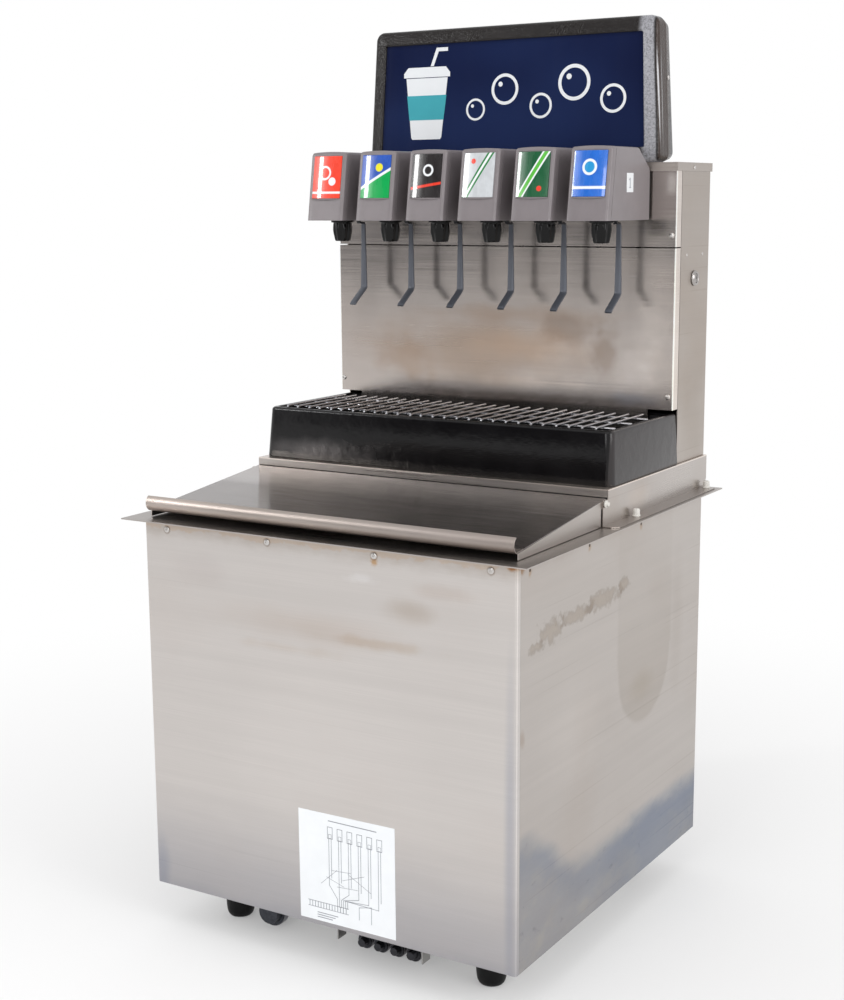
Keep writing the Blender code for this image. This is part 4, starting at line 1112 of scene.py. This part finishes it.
def valves():
    hood = cover_mesh()
    for i in range(6):
        x, node = (i - 2.5) * PITCH, f"valve_{i + 1}_"
        cover = added(node + "hood", hood.copy())
        cover.location.x = x
        finish_edges(cover, 32, 0.0003)
        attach(cover, "base")
        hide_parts(node + "cover")
        for name, shape, look, body, slot, replaced, angle in (
            ("sill", sill_mesh(), taupe, "base", "taupe_plastic", (), 40),
            ("lens", window_mesh(), LABELS[i], "base", "window_acrylic", [node + "window"], 25),
            ("spout", nozzle_mesh(), spout, f"nozzle_{i + 1}", "black_plastic", [node + "nozzle"], 50),
            ("bar", lever_mesh(), lever_look, f"lever_{i + 1}", "lever_steel", [node + "lever"], 35),
        ):
            piece(node + name, *shape, look, body, slot, replaced, angle, 0, x)


valves()


# Fasteners and small fittings


def cap_profile(radius, height, base, sign=1, dimple=0.0):
    """A pan head's profile, standing out from base."""
    profile = [(radius, base), (radius, base + sign * height * 0.25)]
    for s in range(1, 7):
        t = math.pi / 2 * s / 6
        rise = 0.25 + 0.75 * math.sin(t)
        profile.append((radius * (0.3 + 0.7 * math.cos(t)), base + sign * height * rise))
    if dimple:
        floor = base + sign * (height - dimple)
        profile += [(radius * 0.26, base + sign * height * 0.98), (radius * 0.22, floor), (0.0001, floor)]
    return profile


def crossed(made, centre, face):
    """Cuts a cross recess in the head of a screw that points forward."""
    for a, b in ((0.0019, 0.00045), (0.00045, 0.0019)):
        low = (centre[0] - a, face - 0.003, centre[1] - b)
        cut(made, *slab(low, (centre[0] + a, face + 0.0007, centre[1] + b)))
    smooth(made, 35)


def head(name, axis, centre, profile, steps=40, slot="stainless_sheet", look=fastener):
    piece(name, *turned(axis, centre, profile, steps), look, "base", slot, (), 45)


def fasteners():
    for i, x in enumerate(FRONT_RIVETS):
        head(f"front_rivet_{i + 1}", "Y", (x, up(0.4815)), cap_profile(0.0042, 0.0015, FRONT, -1, 0.0008))
    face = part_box("splash_panel_lower")[0].y
    corners = ((0.2581, 0.8427), (0.2574, 0.6312), (-0.2593, 0.6319), (-0.2585, 0.843))
    for i, (x, z) in enumerate(corners):
        start = face + (0.0008 if z > 0.8 else 0)
        profile = cap_profile(0.0036, 0.0022, start, -1)
        made = piece(f"splash_screw_{i + 1}", *turned("Y", (x, up(z)), profile), fastener)
        crossed(made, (x, up(z)), start - 0.0022)
        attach(made, "base")
    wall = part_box("tower_shell")[1].x
    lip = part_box("tower_cap")[1].x
    for name, side in (("left", -1), ("right", 1)):
        rivet, cap, sign_cap = (
            [(r, side * at) for r, at in cap_profile(*sizes)]
            for sizes in (
                (0.0022, 0.0009, wall),
                (0.0026, 0.0014, lip),
                (0.003, 0.0014, SIGN_HALF - sign_rise(1.048) * SIGN_TAPER - 0.0008),
            )
        )
        for i, (distance, z) in enumerate(((0.4834, 0.8166), (0.5378, 0.8168))):
            head(f"tower_rivet_{name}_{i + 1}", "X", (back(distance), up(z)), rivet, 24)
        head("cap_screw_" + name, "X", (back(0.4987), up(0.9302)), cap, 28)
        head("sign_screw_" + name, "X", (back(0.509), up(1.048)), sign_cap, 28, "black_textured_plastic")
        for i, distance in enumerate((0.3077, 0.5436)):
            low = up(JACKET_HEIGHT) + 0.0031
            profile = [(0.0052, 0), (0.0054, 0.0008), (0.005, 0.002), (0.0046, 0.0022)]
            profile += [(0.0045, 0.0078), (0.004, 0.0092), (0.0028, 0.0098)]
            profile = [(r, low + rise) for r, rise in profile]
            centre = (side * 0.2755, back(distance))
            head(f"foot_peg_{name}_{i + 1}", "Z", centre, profile, 32, "white_nylon", nylon)


def key_switch():
    """A dished ring on the right wall, and its plug with a key slot."""
    centre = (back(0.511), up(0.785))
    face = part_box("tower_shell")[1].x + 0.0003
    ring = [(0.0078, -0.018), (0.0078, 0), (0.01, 0), (0.0105, 0.0003), (0.0105, 0.001)]
    ring += [(0.0102, 0.0016), (0.0094, 0.0024), (0.0088, 0.0033), (0.0082, 0.0036), (0.0066, 0.0036)]
    ring += [(0.006, 0.003), (0.0059, 0.002), (0.0059, -0.013)]
    ring = turned("X", centre, [(r, face + proud) for r, proud in ring], 64)
    piece("key_ring", *ring, bright_steel, "base", "chrome_wire", ["key_switch_body"], 40)
    plug = [(0.0055, -0.0125), (0.0055, 0.0022), (0.0052, 0.0027), (0.0046, 0.0029), (0.0001, 0.0029)]
    plug = turned("X", centre, [(r, face + proud) for r, proud in plug], 64)
    made = piece("key_plug_face", *plug, bright_steel)
    low = (face - 0.004, centre[0] - 0.0007, centre[1] - 0.0037)
    cut(made, *slab(low, (face + 0.01, centre[0] + 0.0007, centre[1] + 0.0037)))
    cut(made, *turned("X", centre, [(0.0014, face - 0.004), (0.0014, face + 0.01)], 24))
    smooth(made, 35)
    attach(made, "key_plug")
    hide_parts("key_barrel")


def feet():
    profile = [(0.0088, 0.0), (0.012, 0.0003), (0.0146, 0.0014), (0.0163, 0.0032), (0.0176, 0.006)]
    profile += [(0.0184, 0.0095), (0.0189, 0.014), (0.0196, 0.024), (0.0206, 0.04), (0.0208, 0.0412)]
    profile += [(0.0213, 0.0418), (0.0214, BASE - 0.0003)]
    for node in ("foot_front_left", "foot_front_right", "foot_rear_left", "foot_rear_right"):
        low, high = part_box(node)
        foot = turned("Z", ((low.x + high.x) / 2, (low.y + high.y) / 2), profile, 56)
        piece(node + "_bumper", *foot, rubber, "base", "black_rubber", [node], 40)


def hose_clamp(name, centre, radius, start, width):
    """A worm-drive band round a barb that points forward, with its screw housing on top."""
    end = start + width
    band = [(radius, start), (radius + 0.0008, start), (radius + 0.0008, end), (radius, end)]
    band = skin([across("Y", at, ring_of(r, 40, centre)) for r, at in band], True)
    x, foot = centre[0], centre[1] + radius + 0.0004
    housing = slab((x - 0.004, start - 0.0002, foot), (x + 0.004, end + 0.0002, foot + 0.004))
    screw = [(0.0028, x + 0.004), (0.0032, x + 0.0046), (0.0032, x + 0.0078), (0.0028, x + 0.0084)]
    screw = turned("X", (start + width / 2, foot + 0.002), screw, 18)
    whole = merged([band, housing, screw])
    piece(name, *whole, clamp_look, "base", "stainless_sheet", (), 40, 0.0002)


def underside():
    hose_clamp("drain_clamp", (-0.1325, up(-0.037)), 0.0201, back(0.1) - 0.033, 0.01)
    for row, height in enumerate((-0.048, -0.022)):
        for column, x in enumerate(BARB_COLUMNS):
            name = f"inlet_clamp_{row + 1}_{column + 1}"
            hose_clamp(name, (x, up(height)), 0.0101, back(0.0755), 0.007)


def drawing_sheet():
    """A blank sheet with a plain plumbing diagram: six tanks, their lines and a row of ports."""
    left, right, low, high = -0.037, 0.105, 0.0055, 0.149
    sheet = [(left + 0.0008, low), (right, low + 0.0004), (right - 0.0005, high)]
    sheet += [(left, high - 0.0006), (left + 0.0003, 0.09)]
    proud = FRONT - 0.0003
    sheet = prism([(x, up(z)) for x, z in sheet], "Y", FRONT - 0.00002, proud)
    piece("drawing_sheet", *sheet, paper, "base", "white_nylon", (), 30)
    lines = []

    def stroke(x0, z0, x1, z1, half=0.00035):
        a, b = Vector((x0, z0)), Vector((x1, z1))
        along = (b - a).normalized() * half
        side = Vector((-along.y, along.x))
        corners = [a - along - side, b + along - side, b + along + side, a - along + side]
        lines.append(prism([(p.x, up(p.y)) for p in corners], "Y", proud, proud - 0.00008))

    def box(x, half_width, z0, z1, half=0.00035):
        x0, x1 = x - half_width, x + half_width
        for ends in ((x0, z0, x1, z0), (x1, z0, x1, z1), (x1, z1, x0, z1), (x0, z1, x0, z0)):
            stroke(*ends, half)

    for i in range(6):
        x, sunk = 0.01 + i * 0.0145, i * 0.0004
        box(x, 0.0036, 0.117 - sunk, 0.132 - sunk)
        box(x, 0.002, 0.1175 - sunk, 0.1225 - sunk, 0.00025)
        drop, port = 0.056 - i * 0.0035, 0.02 + i * 0.003
        stroke(x - 0.0018, 0.1165 - sunk, x - 0.0018, drop)
        stroke(x + 0.0018, 0.1165 - sunk, x + 0.0018, drop + 0.01)
        stroke(x - 0.0018, drop, port, 0.04)
        stroke(port, 0.04, port, 0.03)
        start = (-0.004 + i * 0.008, 0.056 + (i % 3) * 0.01)
        stroke(*start, 0.02 + i * 0.01, 0.078 - (i % 2) * 0.02, 0.00025)
    for i in range(14):
        x = -0.022 + i * 0.0042
        stroke(x, 0.0235, x, 0.03, 0.00045)
    for i in range(3):
        z = 0.0165 - i * 0.003
        stroke(-0.01, z, 0.02 - i * 0.004, z, 0.00055)
    for line in (
        (-0.024, 0.023, 0.036, 0.023),
        (-0.024, 0.0305, 0.036, 0.0305),
        (0.008, 0.14, 0.078, 0.1395, 0.00055),
        (0.052, 0.02, 0.052, 0.036),
        (0.07, 0.018, 0.07, 0.04),
        (0.052, 0.036, 0.07, 0.04),
    ):
        stroke(*line)
    piece("drawing_lines", *merged(lines), ink, "base", "white_nylon", (), 30)


def number_tag():
    """A small white tag with a plain 1 on the last valve's outer side."""
    x = 2.5 * PITCH + VALVE_HALF
    tag = place([(0.3675, 0.8985), (0.3875, 0.8985), (0.3875, 0.9226), (0.3675, 0.9226)])
    tag = prism(tag, "X", x + 0.00005, x + 0.0003)
    piece("number_tag", *tag, print_white, "base", "white_nylon", (), 30)
    strokes = [
        [(0.3768, 0.905), (0.3786, 0.905), (0.3786, 0.9165), (0.3768, 0.9165)],
        [(0.3768, 0.9165), (0.3768, 0.9148), (0.3748, 0.913), (0.3744, 0.9143)],
        [(0.3752, 0.905), (0.3802, 0.905), (0.3802, 0.9038), (0.3752, 0.9038)],
    ]
    digit = merged([prism(place(s), "X", x + 0.0003, x + 0.00038) for s in strokes])
    piece("number_digit", *digit, ink, "base", "white_nylon", (), 30)


fasteners()
key_switch()
feet()
underside()
drawing_sheet()
number_tag()


# The stage


def stage():
    """A pale floor that brightens into the surroundings."""
    radii = (0.01, 0.6, 1.2, 2.0, 3.2, 6.0, 14.0)
    verts, faces = skin([across("Z", 0, ring_of(radius, 64)) for radius in radii])
    floor = bpy.data.meshes.new("floor")
    floor.from_pydata(verts, [], faces[:-1])
    ground = added("floor", floor)
    look = Look("floor_look")
    look.set(Base_Color=(0.84, 0.84, 0.84), Roughness=0.9)
    glow = look.make("ShaderNodeEmission", {"Color": (1, 1, 1), "Strength": 1.0})
    far = look.span(look.length(look.where), 0.3, 1.7, 0.25, 1.0)
    inputs = {0: far, 1: look.shader.outputs[0], 2: glow.outputs[0]}
    blend = look.make("ShaderNodeMixShader", inputs)
    look.feed(look.tree.nodes["Material Output"].inputs[0], blend.outputs[0])
    floor.materials.append(look.material)


def world():
    """Pale surroundings with one dark flag for the steel to mirror. The backdrop itself is white."""
    made = bpy.data.worlds.new("studio")
    bpy.context.scene.world = made
    made.use_nodes = True
    sky = Nodes(made.node_tree, "Generated")
    shade = sky.make("ShaderNodeValToRGB", {0: sky.axis("Z")})
    shade.color_ramp.elements[0].color = (0.88, 0.88, 0.89, 1)
    shade.color_ramp.elements[1].color = (0.95, 0.95, 0.95, 1)
    shade.color_ramp.elements.new(0.25).color = (0.78, 0.78, 0.79, 1)
    turn = sky.math("ARCTAN2", sky.axis("X"), sky.times(sky.axis("Y"), -1))
    across_flag = sky.span(sky.math("ABSOLUTE", sky.minus(turn, -0.36)), 0.34, 0.27)
    up_flag = sky.span(sky.math("ABSOLUTE", sky.minus(sky.axis("Z"), 0.14)), 0.38, 0.24)
    lit = sky.mix(sky.times(across_flag, up_flag), shade.outputs[0], (0.06, 0.06, 0.07))
    seen = sky.make("ShaderNodeLightPath").outputs["Is Camera Ray"]
    background = made.node_tree.nodes["Background"]
    sky.feed(background.inputs["Color"], sky.mix(seen, lit, (1, 1, 1)))
    sky.feed(background.inputs["Strength"], 1.0)


def softbox(name, azimuth, reach, height, size, radiance):
    """A rectangular light round the object. Azimuth 0 is in front of it."""
    light = bpy.data.lights.new(name, "AREA")
    light.shape = "RECTANGLE"
    light.size, light.size_y = size
    light.energy = radiance * math.pi * size[0] * size[1]
    made = added(name, light)
    turn = math.radians(azimuth)
    made.location = (reach * math.sin(turn), -reach * math.cos(turn), height)
    made.rotation_euler = (LIGHTS_AIM - made.location).to_track_quat("-Z", "Y").to_euler()


def camera():
    yaw, pitch, roll = 0.5491, -0.1826, -0.0065
    ahead = Vector((-math.sin(yaw) * math.cos(pitch), math.cos(yaw) * math.cos(pitch), math.sin(pitch)))
    right = ahead.cross(Vector((0, 0, 1))).normalized()
    top = right.cross(ahead)
    across_view = right * math.cos(roll) + top * math.sin(roll)
    up_view = top * math.cos(roll) - right * math.sin(roll)
    eye = added("camera", bpy.data.cameras.new("camera"))
    turn = Matrix((across_view, up_view, -ahead)).transposed()
    eye.matrix_world = Matrix.Translation((1.101, back(-1.5607), up(0.8918))) @ turn.to_4x4()
    eye.data.sensor_width = 36
    eye.data.lens = 58.698
    bpy.context.scene.camera = eye


LIGHTS_AIM = Vector((0, 0, 0.7))
stage()
world()
softbox("label_strip", -48, 3.4, 2.05, (0.36, 1.2), 17.0)
softbox("front", 2, 3.4, 1.45, (0.9, 1.3), 5.5)
softbox("right_fill", 76, 3.2, 1.7, (1.6, 1.8), 4.0)
softbox("top", 20, 1.6, 3.4, (2.2, 1.6), 1.0)
camera()
bpy.context.scene.view_settings.view_transform = "Standard"
